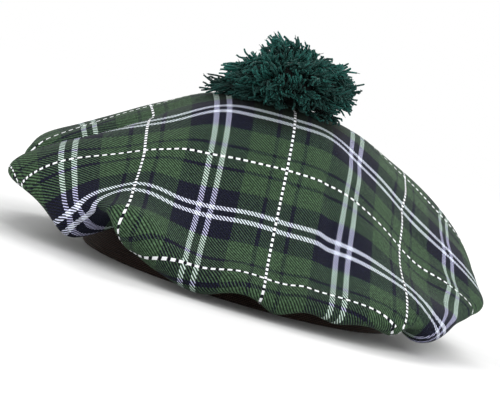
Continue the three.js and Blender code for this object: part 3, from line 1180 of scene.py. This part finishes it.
@dataclass(frozen=True)
class ClothLayout:
    """Where each point of the crown lay on the flat round of cloth before it was gathered.

    The cloth is inextensible, so the flat places are found by moving a net of them until the lengths of its
    threads and diagonals match those on the shaped surface. Its spare width goes into the creases, where the
    net is soft. Past the last eased station the cloth is pleated up in gathers, and the net runs straight on.
    """

    creases: tuple[Slack, ...] = CREASES
    tugs: tuple[Tug, ...] = TUGS
    columns: int = 120
    rows: int = 57
    eased_to: float = 8.2
    rounds: int = 1500
    hurry: float = 1.6  # how far past its mean pull a point moves in a round
    diagonal: float = 0.6  # a diagonal's firmness, as a share of a thread's
    turned: float = 6.5  # degrees from the hat's own axes to the weave
    offset: tuple[float, float] = (1.5, 13.0)  # of the sett's dashed crossing from the hat's top

    def places(self, surface: ClothSurface, azimuth: np.ndarray, u: np.ndarray) -> np.ndarray:
        """Flat positions for a grid of the surface.

        Args:
            surface: the shaped cloth.
            azimuth: degrees, one for each column, evenly round from the first.
            u: places along the profile, one for each row.

        Returns:
            Millimetres along the weft and the warp, indexed by row, column and coordinate.
        """
        coarse_azimuth = azimuth[0] + 360.0 * np.arange(self.columns) / self.columns
        coarse_u = np.linspace(0.0, surface.last, self.rows)
        shaped = surface.points(coarse_azimuth, coarse_u)
        net = self._eased(shaped, self._spokes(shaped, coarse_azimuth), coarse_u)
        down = catmull_rom(u * (self.rows - 1) / surface.last, self.rows, closed=False)
        round_ = catmull_rom((azimuth - azimuth[0]) * self.columns / 360.0, self.columns, closed=True)
        flat = np.einsum("ur,rck,ac->uak", down, net, round_)
        psi = math.radians(self.turned)
        weave = np.array([[math.cos(psi), -math.sin(psi)], [math.sin(psi), math.cos(psi)]])
        return flat @ weave - np.array(self.offset)

    def drawn(self, azimuth: np.ndarray, u: np.ndarray) -> np.ndarray:
        """How far the sett is drawn aside over the same grid, in millimetres along the weft and the warp."""
        return sum(tug.over(azimuth, u) for tug in self.tugs)

    def _spokes(self, shaped: np.ndarray, azimuth: np.ndarray) -> np.ndarray:
        """The first guess: each column laid out straight along its azimuth, at its own length.

        Args:
            shaped: the surface, indexed by row, column and coordinate.
            azimuth: degrees, one for each column.

        Returns:
            Flat places, indexed as the surface is.
        """
        steps = np.linalg.norm(np.diff(shaped, axis=0), axis=-1)
        run = np.concatenate([np.zeros((1, shaped.shape[1])), np.cumsum(steps, axis=0)])
        turn = np.radians(azimuth)
        return np.stack([run * np.cos(turn), run * np.sin(turn)], axis=-1)

    def _eased(self, shaped: np.ndarray, flat: np.ndarray, u: np.ndarray) -> np.ndarray:
        """Moves the flat net until its threads have their lengths on the shaped surface.

        Each round, every thread and diagonal that is too long or short pulls or pushes its two ends by half
        the difference, and a point moves by the weighted mean of what its threads ask, times the hurry.

        Args:
            shaped: the surface, indexed by row, column and coordinate.
            flat: the first guess of the flat places.
            u: the rows' places along the profile.

        Returns:
            The eased places, with the rows past the last eased one carried on.
        """
        rows = int(np.searchsorted(u, self.eased_to))
        net = flat[:rows].copy()
        firm = self._firmness(u[:rows])
        aslant = self.diagonal * firm
        links = ((0, 1, firm), (1, 0, np.ones_like(firm)), (1, 1, aslant), (1, -1, aslant))
        pulls = np.zeros_like(firm)
        ties = []
        for down, across, weight in links:
            length = np.linalg.norm(self._gaps(shaped[:rows], down, across), axis=-1, keepdims=True)
            weight = weight[: rows - down]
            pulls[: rows - down] += weight
            pulls[down:] += np.roll(weight, across, axis=1)
            ties.append((down, across, weight, length))
        for _ in range(self.rounds):
            move = np.zeros_like(net)
            for down, across, weight, length in ties:
                gap = self._gaps(net, down, across)
                now = np.maximum(np.linalg.norm(gap, axis=-1, keepdims=True), 1e-6)
                ask = 0.5 * weight * gap * (1.0 - length / now)
                move[: rows - down] += ask
                move[down:] -= np.roll(ask, across, axis=1)
            net += self.hurry * move / pulls
            net[0] = 0.0
        return np.concatenate([net, net[-1:] + flat[rows:] - flat[rows - 1 : rows]])

    def _firmness(self, u: np.ndarray) -> np.ndarray:
        """How firmly the net keeps its width: 1, less each crease's give times a hump across the crease.

        Args:
            u: the rows' places along the profile.

        Returns:
            The firmness, indexed by row and column, with one value in its last axis.
        """
        azimuth = 360.0 * np.arange(self.columns) / self.columns
        firm = np.ones((len(u), self.columns))
        for crease in self.creases:
            near = hump(turned_from(azimuth, crease.azimuth) / crease.spread)
            opens = smooth_step(u, crease.first, crease.first + 2.0)
            firm *= 1.0 - crease.give * opens[:, None] * near[None, :]
        return firm[..., None]

    @staticmethod
    def _gaps(net: np.ndarray, down: int, across: int) -> np.ndarray:
        """From each point of a net to the one some rows down and columns across, going round."""
        return np.roll(net, -across, axis=1)[down:] - net[: len(net) - down]


@dataclass
class Crown:
    """The whole cloth: an outer face, an inner face one wall further in, and the cut edge at the seam."""

    surface: ClothSurface
    layout: ClothLayout
    finish: TartanTwill
    wall: float = 1.4
    around: int = 400
    stretches: tuple[tuple[float, float, int], ...] = ((0.0, 4.6, 34), (4.6, 9.0, 46), (9.0, 11.0, 24))
    unevenness: float = 0.35
    uneven_lengths: tuple[float, float] = (26.0, 75.0)
    uneven_between: tuple[float, float, float, float] = (0.0, 2.0, 9.6, 10.8)  # grows, then dies away again
    ripples: tuple[Ripple, ...] = RIPPLES
    fine_pleats: tuple[Pleats, ...] = (
        Pleats(count=57, depth=0.55, first=8.6, last=11.1, wander=1.1),
        Pleats(count=41, depth=0.6, first=8.0, last=11.0, wander=1.7),
    )
    flat_across: float = 460.0

    def _rows(self) -> np.ndarray:
        """Where the mesh's rows lie: closer in the stretches where the cloth turns over.

        Returns:
            Places along the profile.
        """
        rows = [np.zeros(1)]
        for low, high, count in self.stretches:
            rows.append(low + (high - low) * np.arange(1, count + 1) / count)
        return np.concatenate(rows)

    @staticmethod
    def _normals(grid: np.ndarray) -> np.ndarray:
        """Normals out of the cloth: the step down crossed with the step round.

        Args:
            grid: positions, indexed by row, column and coordinate.

        Returns:
            Unit vectors, indexed alike. Those of the top row, which is one point, go straight up.
        """
        round_ = np.roll(grid, -1, axis=1) - np.roll(grid, 1, axis=1)
        down = np.gradient(grid, axis=0)
        normals = unit(np.cross(down, round_))
        normals[0] = np.array([0.0, 0.0, 1.0])
        return normals

    def _lift(self, azimuth: np.ndarray, u: np.ndarray, flat: np.ndarray) -> np.ndarray:
        """The low relief: a seeded unevenness that fades out at both ends, the finest pleats and the ripples.

        Args:
            azimuth: degrees, one for each column.
            u: places along the profile, one for each row.
            flat: where the grid's points lie on the flat cloth.

        Returns:
            How far it stands out from the surface in millimetres, indexed by row and column.
        """
        rise, full, still_full, gone = self.uneven_between
        fade = smooth_step(u, rise, full) * (1.0 - smooth_step(u, still_full, gone))
        lift = self.unevenness * plane_waves(flat, self.uneven_lengths, 26, seed=4) * fade[:, None]
        lift = lift + sum(pleats.height(azimuth, u) for pleats in self.fine_pleats)
        return lift + sum(ripple.over(azimuth, u) for ripple in self.ripples)

    def build(self) -> bpy.types.Object:
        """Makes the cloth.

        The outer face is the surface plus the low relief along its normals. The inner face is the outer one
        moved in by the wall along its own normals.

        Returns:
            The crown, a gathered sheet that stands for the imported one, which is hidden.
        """
        azimuth = 360.0 * np.arange(self.around) / self.around
        u = self._rows()
        smooth = self.surface.points(azimuth, u)
        flat = self.layout.places(self.surface, azimuth, u)
        sett = flat + self.layout.drawn(azimuth, u)
        outer = smooth + self._normals(smooth) * self._lift(azimuth, u, flat)[..., None]
        inner = outer - self._normals(outer) * self.wall
        points = np.concatenate([self._sheet(outer), self._sheet(inner)])
        piece = new_mesh("crown_cloth", points, self._faces(len(u)))
        corners = corner_vertices(piece)
        for name, places in (("threads", flat), ("sett", sett)):
            set_map(piece, name, np.tile(self._sheet(places) / self.finish.span + 0.5, (2, 1))[corners])
        piece.data.materials.append(self.finish.material())
        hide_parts("crown")
        return piece

    @staticmethod
    def _sheet(grid: np.ndarray) -> np.ndarray:
        """A grid as a list of points: its top once, then its rows one after another."""
        return np.concatenate([grid[0, :1], grid[1:].reshape(-1, grid.shape[-1])])

    def _faces(self, rows: int) -> list[np.ndarray]:
        """Triangles round both tops, quads down both faces, and quads across the cut edge.

        Args:
            rows: the rows of each face, the top one being a single point.

        Returns:
            The faces in groups of triangles and quads.
        """
        size = 1 + (rows - 1) * self.around
        fan = fan_faces(0, 1, self.around)
        quads = ring_faces(rows - 1, self.around, first=1)[:, ::-1]
        i = np.arange(self.around)
        rim = 1 + (rows - 2) * self.around + np.stack([i, (i + 1) % self.around], axis=1)
        edge = np.stack([rim[:, 0], rim[:, 0] + size, rim[:, 1] + size, rim[:, 1]], axis=1)
        return [fan, fan[:, ::-1] + size, quads, quads[:, ::-1] + size, edge]


# ---------------------------------------------------------------- the headband
@dataclass
class Headband:
    """A ring of knitted elastic, ribbed on both faces and round at both edges."""

    finish: RibbedKnit
    outer_radius: float = 92.7
    thickness: float = 2.3
    height: float = 28.5
    ribs: int = 16
    rib_depth: float = 0.5
    edge_round: float = 0.9
    edge_power: int = 24  # the higher, the closer to the edges the rounding starts
    around: int = 300
    points_per_rib: int = 6
    sway: float = 0.16
    sway_lengths: tuple[float, float] = (30.0, 90.0)

    def build(self) -> bpy.types.Object:
        """Makes the ring.

        Its section is a rounded oblong whose long sides carry a rectified sine, one arch for each rib. The
        section is carried round the axis with a little seeded unevenness in radius.

        Returns:
            The headband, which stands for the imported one.
        """
        along = np.linspace(0.0, 1.0, self.ribs * self.points_per_rib + 1)
        arch = self.rib_depth * (np.abs(np.sin(np.pi * self.ribs * along)) - 1.0)
        middling = np.clip(1.0 - (2.0 * along - 1.0) ** self.edge_power, 0.0, 1.0)
        round_off = self.edge_round * (1.0 - np.sqrt(middling))
        outside = self.outer_radius + arch - round_off
        inside = self.outer_radius - self.thickness - arch + round_off
        radius = np.concatenate([outside, inside[::-1]])
        share = np.concatenate([along, along[::-1]])
        turn = full_turn(self.around)
        circle = np.stack([np.cos(turn), np.sin(turn)], axis=-1) * self.outer_radius
        sway = self.sway * plane_waves(circle, self.sway_lengths, 12, seed=9)
        ring = radius[:, None] + sway[None, :]
        height = np.broadcast_to((self.height * share)[:, None], ring.shape)
        grid = np.stack([ring * np.cos(turn), ring * np.sin(turn), height], axis=-1)
        rows = len(radius)
        quads = ring_faces(rows + 1, self.around) % (rows * self.around)
        piece = new_mesh("headband_elastic", grid.reshape(-1, 3), [quads])
        self._map(piece, share * self.ribs)
        piece.data.materials.append(self.finish.material(self.outer_radius))
        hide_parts("headband")
        return piece

    def _map(self, piece: bpy.types.Object, count: np.ndarray) -> None:
        """The ring map: u goes once round, without a jump inside any face, and v counts the ribs.

        Args:
            piece: the ring, made of quads.
            count: the ribs counted up to each row of the section.
        """
        corner = corner_vertices(piece).reshape(-1, 4)
        u = (corner % self.around).astype(float)
        closes = u.max(axis=1, keepdims=True) - u.min(axis=1, keepdims=True) > 2.0
        u[closes & (u < 2.0)] += self.around
        set_map(piece, "ring", np.stack([u / self.around, count[corner // self.around]], axis=-1))


# ---------------------------------------------------------------- the pompom
@dataclass(frozen=True)
class Lock:
    """A bunch of yarns that stands out: where it points, in degrees, and its length against the others'."""

    name: str
    bearing: float
    slope: float
    length: float


STRAY_LOCKS: tuple[Lock, ...] = (
    Lock("top spike", bearing=176, slope=78, length=1.28),
    Lock("top spike, left half", bearing=190, slope=72, length=1.18),
    Lock("top spike, right half", bearing=110, slope=82, length=1.18),
    Lock("top right spike", bearing=-15, slope=80, length=1.12),
    Lock("right brow spike", bearing=-8, slope=38, length=1.02),
    Lock("right spike", bearing=4, slope=20, length=0.98),
    Lock("right wisp", bearing=-6, slope=5, length=1.0),
    Lock("right drooper", bearing=-4, slope=-24, length=1.12),
    Lock("right low drooper", bearing=-22, slope=-42, length=1.12),
    Lock("left straggler", bearing=178, slope=-5, length=1.16),
    Lock("left low straggler", bearing=184, slope=-17, length=1.26),
    Lock("left brow spike", bearing=192, slope=14, length=1.04),
)


@dataclass(frozen=True)
class Dip:
    """Where the yarns are cut shorter: its middle and half-width in degrees, and the share cut off."""

    name: str
    bearing: float
    slope: float
    width: float
    share: float


DIPS: tuple[Dip, ...] = (
    Dip("left shoulder", bearing=180, slope=38, width=34, share=0.20),
    Dip("left front shoulder", bearing=-130, slope=42, width=30, share=0.12),
    Dip("left back shoulder", bearing=130, slope=42, width=30, share=0.14),
    Dip("notch", bearing=-60, slope=80, width=12, share=0.14),
    Dip("back notch", bearing=60, slope=76, width=12, share=0.12),
)


@dataclass(frozen=True)
class Hillside:
    """The height of the crown's top under any point: a table by azimuth and radius, read bilinearly."""

    surface: ClothSurface
    columns: int = 72
    reach: int = 80  # millimetres, one to a step of the table
    last: float = 4.5  # the place on the profile that lies past it
    samples: int = 60

    def table(self) -> np.ndarray:
        """Works out the heights.

        Returns:
            Heights in millimetres, indexed by column and by whole millimetres of radius.
        """
        azimuth = 360.0 / self.columns * np.arange(self.columns)
        top = self.surface.points(azimuth, np.linspace(0.0, self.last, self.samples))
        radii = np.arange(self.reach + 1.0)
        sides = top.transpose(1, 0, 2)
        return np.array([np.interp(radii, np.hypot(*side[:, :2].T), side[:, 2]) for side in sides])

    def under(self, points: np.ndarray) -> np.ndarray:
        """Reads the table.

        Args:
            points: positions in millimetres, with three coordinates along the last axis.

        Returns:
            The cloth's height under each.
        """
        table = self.table()
        turn = (np.degrees(np.arctan2(points[..., 1], points[..., 0])) % 360.0) * self.columns / 360.0
        radius = np.clip(np.hypot(points[..., 0], points[..., 1]), 0.0, self.reach - 1.0)
        k, j = np.floor(turn).astype(int) % self.columns, np.floor(radius).astype(int)
        a, b = turn - np.floor(turn), radius - j
        near = (1 - b) * table[k, j] + b * table[k, j + 1]
        following = (k + 1) % self.columns
        far = (1 - b) * table[following, j] + b * table[following, j + 1]
        return (1 - a) * near + a * far


@dataclass
class Pompom:
    """Cut yarn tied in its middle: bunches of yarns, each a little curled and frayed at its cut end.

    A scatter is the width of the bell curve that numbers are drawn from, and is a share of the reach unless
    its line says otherwise.
    """

    surface: ClothSurface
    finish: BulkyYarn
    centre: tuple[float, float, float] = (-4.8, 0.0, 118.0)
    reach: float = 38.0
    rise: float = 22.0
    tilt: float = 9.0  # degrees, the right side up
    heart: float = 0.40  # share of the reach at which the yarns leave the tied middle
    lowest: float = -0.72  # sine of the lowest bunch's slope
    spread: float = 0.90  # how far out the even bunches' heads stand, as a share of the reach
    stray_spread: float = 0.95  # and the stray ones'
    head_scatter: float = 0.055
    tip_scatter: float = 0.066
    length_scatter: float = 0.04  # share of a yarn's length
    root_scatter: float = 0.16
    bunches: int = 120
    yarns_each: int = 19
    yarn_radius: float = 0.60
    sections: int = 10
    sides: int = 5
    bow: float = 3.0  # scatter in millimetres of the bow that a bunch shares
    own_bow: float = 0.45  # a yarn's own, as a share of that
    bend: float = 0.6  # how much of either shows
    curl: float = 1.3  # the widest curl's radius
    curl_share: tuple[float, float] = (0.3, 1.0)
    curl_turns: tuple[float, float] = (0.7, 1.7)
    taper: tuple[float, float, float] = (1.0, 1.0, 0.8)  # at a yarn's root, near its tip, and at it
    tone: float = 0.42  # 0 dark to 1 light
    # painted light: yarns of bunches that point up are lighter, those that point down darker
    painted_light_above: float = 0.2
    bunch_tones: float = 0.12  # how much the bunches differ in tone, and the yarns of a bunch
    yarn_tones: float = 0.15
    clear: float = 0.35  # above the cloth, and for the wisps and the heart
    clear_wisps: float = 0.4
    clear_heart: float = 0.5
    wisp_radii: tuple[float, float, float] = (0.26, 0.22, 0.12)  # at the root, the middle and the end
    wisp_length: tuple[float, float] = (0.5, 1.5)
    wisp_drift: float = 0.7  # how far its end bends away, as a share of its length
    heart_skin: float = 0.2  # how far the heart's skin stands past the yarns' roots
    heart_uneven: float = 0.05
    seed: int = 11

    def _placed(self, ways: np.ndarray) -> np.ndarray:
        """Draws a round of radius 1 out to the pompom's size, tilts it about Y and moves it to its centre.

        Args:
            ways: points of the round, with three coordinates along the last axis.

        Returns:
            Positions in millimetres.
        """
        lean = math.radians(self.tilt)
        cos, sin = math.cos(lean), math.sin(lean)
        turn = np.array([[cos, 0.0, sin], [0.0, 1.0, 0.0], [-sin, 0.0, cos]])
        return ways * np.array([self.reach, self.reach, self.rise]) @ turn + np.array(self.centre)

    @staticmethod
    def _ways(rows: Sequence[Lock | Dip]) -> np.ndarray:
        """Unit vectors along each row's bearing and slope."""
        return pointing(np.radians([row.bearing for row in rows]), np.radians([row.slope for row in rows]))

    def _heads(self, rng: np.random.Generator) -> np.ndarray:
        """Each bunch's tip on a round of radius 1: those even by the golden angle, jittered, then the strays.

        The even ones' lengths vary by two sines of their number, and are cut by a hump in each dip.

        Args:
            rng: what scatters the bunches.

        Returns:
            One row for each bunch, whose length is the bunch's own.
        """
        k = np.arange(self.bunches) + 0.5
        slope = 1.0 - (1.0 - self.lowest) * k / self.bunches
        bearing = k * math.pi * (3.0 - math.sqrt(5.0))
        level = np.sqrt(1.0 - slope**2)
        ways = np.stack([level * np.cos(bearing), level * np.sin(bearing), slope], axis=1)
        ways = unit(ways + rng.normal(scale=self.head_scatter, size=ways.shape))
        length = 1.0 + 0.055 * np.sin(5.3 * k) + 0.03 * np.cos(2.1 * k)
        for dip, middle in zip(DIPS, self._ways(DIPS)):
            away = np.degrees(np.arccos(np.clip(ways @ middle, -1.0, 1.0)))
            length = length * (1.0 - dip.share * hump(away / dip.width))
        strays = self._ways(STRAY_LOCKS)
        stray_length = self.stray_spread * np.array([lock.length for lock in STRAY_LOCKS])
        return np.concatenate([ways * (self.spread * length)[:, None], strays * stray_length[:, None]])

    def _yarn_lines(self, rng: np.random.Generator) -> tuple[np.ndarray, np.ndarray]:
        """The yarns' middles.

        Each runs straight from the heart's skin to its own tip, near its bunch's head. A bow that its bunch
        shares, which is 4t(1 - t) along it, bends it, and a helix that widens with t curls it. What would
        sink into the cloth is lifted onto it.

        Args:
            rng: what scatters the yarns.

        Returns:
            Points indexed by yarn, section and coordinate, and a tone for each yarn, random and painted
            lighter if it points up.
        """
        heads = self._heads(rng)
        count = (len(heads), self.yarns_each)
        tips = heads[:, None] + rng.normal(scale=self.tip_scatter, size=(*count, 3))
        tips = tips * (1.0 + rng.normal(scale=self.length_scatter, size=(*count, 1)))
        roots = self.heart * (heads[:, None] + rng.normal(scale=self.root_scatter, size=(*count, 3)))
        t = np.linspace(0.0, 1.0, self.sections)[:, None]
        lines = self._placed(roots[:, :, None] * (1.0 - t) + tips[:, :, None] * t)
        shared = rng.normal(scale=self.bow, size=(len(heads), 1, 1, 3))
        own = rng.normal(scale=self.own_bow * self.bow, size=(*count, 1, 3))
        lines = lines + (shared + own) * 4.0 * t * (1.0 - t) * self.bend
        side, other = self._across(lines, np.array([0.31, 0.17, 0.93]))
        start = rng.uniform(0.0, 2.0 * np.pi, size=(*count, 1, 1))
        phase = start + 2.0 * np.pi * rng.uniform(*self.curl_turns, size=(*count, 1, 1)) * t
        width = self.curl * rng.uniform(*self.curl_share, size=(*count, 1, 1)) * (0.25 + 0.75 * t)
        lines = lines + width * (np.cos(phase) * side + np.sin(phase) * other)
        # painted light: bunches that point up are lighter
        tone = self.tone + self.painted_light_above * heads[:, 2:]
        tone = tone + rng.normal(scale=self.bunch_tones, size=(len(heads), 1))
        tone = tone + rng.normal(scale=self.yarn_tones, size=count)
        lines = lines.reshape(-1, self.sections, 3)
        floor = Hillside(self.surface).under(lines) + self.yarn_radius + self.clear
        lines[..., 2] = np.maximum(lines[..., 2], floor + 0.1 * np.abs(lines[..., 2] - floor))
        return lines, np.clip(tone, 0.0, 1.0).reshape(-1)

    @staticmethod
    def _across(lines: np.ndarray, helper: np.ndarray) -> tuple[np.ndarray, np.ndarray]:
        """Two directions square to each line and to each other, by cross products with a third.

        Args:
            lines: the lines, with sections and coordinates along the last two axes.
            helper: any direction that no line runs along.

        Returns:
            Unit vectors for each point, twice.
        """
        along = unit(np.gradient(lines, axis=-2))
        side = unit(np.cross(along, helper))
        return side, np.cross(along, side)

    def _tubes(
        self, name: str, lines: np.ndarray, radius: np.ndarray, tone: np.ndarray, sides: int
    ) -> bpy.types.Object:
        """Many closed tubes in one mesh: a ring round each point of each line, and a point at either end.

        Args:
            name: the piece's name.
            lines: the tubes' middles, indexed by tube, section and coordinate.
            radius: the radius at each section.
            tone: a number for each tube.
            sides: corners of each ring.

        Returns:
            The piece, with `tone` and `reach` numbers on its vertices and a map named `yarn` that goes 0 to
            1 round each tube and counts millimetres along it.
        """
        tubes, sections = lines.shape[:2]
        side, other = self._across(lines, np.array([0.23, -0.31, 0.92]))
        angle = full_turn(sides)
        ring = np.cos(angle)[:, None] * side[:, :, None] + np.sin(angle)[:, None] * other[:, :, None]
        rings = lines[:, :, None] + ring * radius[None, :, None, None]
        blunt = unit(lines[:, -1] - lines[:, -2]) * 0.7 * radius[-1]
        ends = np.stack([lines[:, 0], lines[:, -1] + blunt], axis=1)
        points = np.concatenate([rings.reshape(tubes, -1, 3), ends], axis=1)
        per_tube = sections * sides + 2
        root = turned_over(fan_faces(per_tube - 2, 0, sides))
        tip = fan_faces(per_tube - 1, (sections - 1) * sides, sides)
        base = (per_tube * np.arange(tubes))[:, None, None]
        groups = (ring_faces(sections, sides), root, tip)
        faces = [(base + group[None]).reshape(-1, group.shape[1]) for group in groups]
        piece = new_mesh(name, points.reshape(-1, 3), faces)
        run = np.concatenate([np.repeat(np.linspace(0.0, 1.0, sections), sides), [0.0, 1.0]])
        set_attribute(piece, "reach", np.tile(run, tubes))
        set_attribute(piece, "tone", np.repeat(tone, per_tube))
        length = np.linalg.norm(np.diff(lines, axis=1), axis=-1).sum(axis=1).mean()
        set_map(piece, "yarn", self._sheaths(tubes, sections, sides, length))
        return piece

    @staticmethod
    def _sheaths(tubes: int, sections: int, sides: int, length: float) -> np.ndarray:
        """The map of many tubes, unrolled.

        Args:
            tubes: how many tubes there are.
            sections: rings along each tube.
            sides: corners of each ring.
            length: a tube's length in millimetres.

        Returns:
            One pair of coordinates for each corner, of the quads, then the root fans, then the tip fans.
        """
        i = np.arange(sides)
        round_ = np.stack([i, i + 1, i + 1, i], axis=1) / sides
        row = np.arange(sections - 1)[:, None, None]
        v = (row + np.array([0, 0, 1, 1])) * np.ones((1, sides, 1)) * length / (sections - 1)
        sheath = np.stack([np.broadcast_to(round_, v.shape), v], axis=-1).reshape(-1, 2)
        fan = np.stack([i, i, i + 1], axis=1) / sides
        cap = np.stack([fan, np.zeros(fan.shape)], axis=-1).reshape(-1, 2)
        return np.concatenate([np.tile(part, (tubes, 1)) for part in (sheath, cap, cap)])

    def _wisps(self, rng: np.random.Generator, lines: np.ndarray, tone: np.ndarray) -> bpy.types.Object:
        """The loose fibres of the cut ends: short fine tubes that leave each yarn near its tip and bend away.

        A fibre is its length times the sum of the yarn's way times t and a drift times t to the power of 1.5.

        Args:
            rng: what scatters the fibres.
            lines: the yarns' middles.
            tone: the yarns' tones.

        Returns:
            The piece.
        """
        root = lines[:, -2] + 0.5 * (lines[:, -1] - lines[:, -2])
        way = unit(lines[:, -1] - lines[:, -3])
        drift = rng.normal(scale=self.wisp_drift, size=way.shape)
        span = rng.uniform(*self.wisp_length, size=(len(way), 1, 1))
        t = np.linspace(0.0, 1.0, len(self.wisp_radii))[None, :, None]
        fibres = root[:, None] + span * (way[:, None] * t + drift[:, None] * t**1.5)
        fibres[..., 2] = np.maximum(fibres[..., 2], Hillside(self.surface).under(fibres) + self.clear_wisps)
        return self._tubes("pompom_wisps", fibres, np.array(self.wisp_radii), tone, sides=3)

    def build(self) -> list[bpy.types.Object]:
        """Makes the yarns in two halves, the loose fibres at their ends and the heart that they grow from.

        Returns:
            The pieces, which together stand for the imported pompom.
        """
        rng = np.random.default_rng(self.seed)
        lines, tone = self._yarn_lines(rng)
        share = np.linspace(0, 1, self.sections)
        radius = self.yarn_radius * np.interp(share, [0.0, 0.85, 1.0], self.taper)
        pieces = [
            self._tubes("pompom_yarn_inner", lines[0::2], radius, tone[0::2], self.sides),
            self._tubes("pompom_yarn_outer", lines[1::2], radius, tone[1::2], self.sides),
            self._wisps(rng, lines, tone),
            self._heart(),
        ]
        material = self.finish.material()
        for piece in pieces:
            piece.data.materials.append(material)
            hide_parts("pompom")
        return pieces

    def _heart(self, rings: int = 24, around: int = 48) -> bpy.types.Object:
        """The tied middle: a flattened ball, uneven by seeded waves, kept above the cloth.

        Args:
            rings: steps from the bottom to the top.
            around: steps round.

        Returns:
            The piece.
        """
        tilt = np.pi * (np.arange(1, rings) / rings - 0.5)
        ways = pointing(full_turn(around), tilt[:, None]).reshape(-1, 3)
        ways = np.concatenate([ways, [[0.0, 0.0, -1.0], [0.0, 0.0, 1.0]]])
        uneven = 1.0 + self.heart_uneven * plane_waves(ways, (0.4, 0.9), 14, seed=5)
        points = self._placed(ways * (self.heart + self.heart_skin) * uneven[:, None])
        points[:, 2] = np.maximum(points[:, 2], Hillside(self.surface).under(points) + self.clear_heart)
        south = turned_over(fan_faces(len(points) - 2, 0, around))
        north = fan_faces(len(points) - 1, (rings - 2) * around, around)
        piece = new_mesh("pompom_heart", points, [ring_faces(rings - 1, around), south, north])
        # the heart reads as a root: near black, as painted shade deep in the pompom
        set_attribute(piece, "reach", np.zeros(len(points)))
        set_attribute(piece, "tone", np.full(len(points), 0.3))
        set_map(piece, "yarn", np.zeros((len(piece.data.loops), 2)))
        return piece


# ---------------------------------------------------------------- the studio
@dataclass(frozen=True)
class SoftBox:
    """A square area light that looks at the hat. Its size is in metres and its power in watts."""

    name: str
    place: tuple[float, float, float]
    size: float
    power: float
    looks_at: tuple[float, float, float] = (0.0, 0.0, 0.06)

    def build(self) -> None:
        """Hangs the light."""
        lamp = bpy.data.lights.new(self.name, "AREA")
        lamp.size = self.size
        lamp.energy = self.power
        holder = bpy.data.objects.new(self.name, lamp)
        holder.location = self.place
        way = Vector(self.looks_at) - Vector(self.place)
        holder.rotation_euler = way.to_track_quat("-Z", "Y").to_euler()
        bpy.context.scene.collection.objects.link(holder)


@dataclass(frozen=True)
class Studio:
    """A pale floor, soft light and the camera. Distances are in metres and angles in degrees."""

    distance: float = 1.30
    elevation: float = 6.5
    roll: float = 16.8
    lens: float = 162.0
    sensor: float = 36.0
    aside: float = 0.3387  # from the headband's middle to the middle of the view
    above: float = 1.96
    air: float = 1.0
    overhead: float = 0.45
    horizon: tuple[float, float] = (0.25, 0.9)  # the sky's slopes, as sines, between which the air dims
    floor_rings: tuple[float, ...] = (0.0, 0.4, 1.0, 2.5, 6.0, 20.0, 60.0)
    boxes: tuple[SoftBox, ...] = (
        SoftBox("key", place=(1.4, -1.75, 1.5), size=3.4, power=52.0),
        SoftBox("fill", place=(-1.7, -1.0, 1.2), size=1.6, power=8.0),
        SoftBox("back", place=(0.2, 1.7, 1.7), size=1.2, power=28.0),
    )

    def floor(self, around: int = 96) -> None:
        """A round of studio paper, wide enough to run out of sight: rings of vertices round the origin.

        Args:
            around: vertices on each ring.
        """
        radii = np.array(self.floor_rings) / MM
        turn = full_turn(around)
        rings = radii[1:, None, None] * np.stack([np.cos(turn), np.sin(turn), 0.0 * turn], axis=-1)[None]
        points = np.concatenate([np.zeros((1, 3)), rings.reshape(-1, 3)])
        quads = ring_faces(len(radii) - 1, around, first=1)[:, ::-1]
        paper = new_mesh("studio_floor", points, [fan_faces(0, 1, around), quads])
        paper.data.materials.append(StudioPaper(air=self.air).material())

    def light(self) -> None:
        """The air's own light, white at the horizon and dimmer overhead, and the soft boxes."""
        world = bpy.data.worlds.new("studio air")
        world.use_nodes = True
        nodes, links = world.node_tree.nodes, world.node_tree.links
        way = nodes.new("ShaderNodeSeparateXYZ")
        links.new(nodes.new("ShaderNodeTexCoord").outputs["Generated"], way.inputs[0])
        fall = nodes.new("ShaderNodeMapRange")
        for socket, value in zip(fall.inputs, (0.0, *self.horizon, self.air, self.overhead)):
            socket.default_value = value
        links.new(way.outputs[2], fall.inputs[0])
        background = nodes["Background"]
        background.inputs["Color"].default_value = WHITE
        links.new(fall.outputs[0], background.inputs["Strength"])
        bpy.context.scene.world = world
        for box in self.boxes:
            box.build()

    def camera(self) -> None:
        """The camera: level with a low eye, turned about its own axis, and aimed a little above the band."""
        lift = math.radians(self.elevation)
        turn = math.radians(self.roll)
        forward = Vector((0.0, math.cos(lift), -math.sin(lift)))
        upright = Vector((0.0, math.sin(lift), math.cos(lift)))
        right = Vector((1.0, 0.0, 0.0))
        view_up = math.cos(turn) * upright + math.sin(turn) * -right
        view_right = math.cos(turn) * right + math.sin(turn) * upright
        aside, above = math.tan(math.radians(self.aside)), math.tan(math.radians(self.above))
        ahead = forward + view_right * aside + view_up * above
        ahead.normalize()
        across = ahead.cross(view_up).normalized()
        data = bpy.data.cameras.new("camera")
        data.lens = self.lens
        data.sensor_width = self.sensor
        data.clip_start = 0.05
        data.clip_end = 200.0
        holder = bpy.data.objects.new("camera", data)
        basis = Matrix((across, across.cross(ahead), -ahead)).transposed().to_4x4()
        holder.matrix_world = Matrix.Translation(-forward * self.distance) @ basis
        bpy.context.scene.collection.objects.link(holder)
        bpy.context.scene.camera = holder

    def build(self) -> None:
        """Sets up the camera, the floor and the light."""
        self.camera()
        self.floor()
        self.light()
        bpy.context.scene.view_settings.view_transform = "Standard"


def main() -> None:
    """Builds the hat and its studio, and reports each piece."""
    logging.basicConfig(level=logging.INFO, format="%(name)s: %(message)s")
    surface = ClothSurface()
    Studio().build()
    made = [
        Headband(RibbedKnit()).build(),
        Crown(surface, ClothLayout(), TartanTwill()).build(),
        *Pompom(surface, BulkyYarn()).build(),
    ]
    for piece in made:
        piece.data.calc_loop_triangles()
        LOG.info("%s: %d triangles", piece.name, len(piece.data.loop_triangles))


if __name__ == "__main__":
    main()
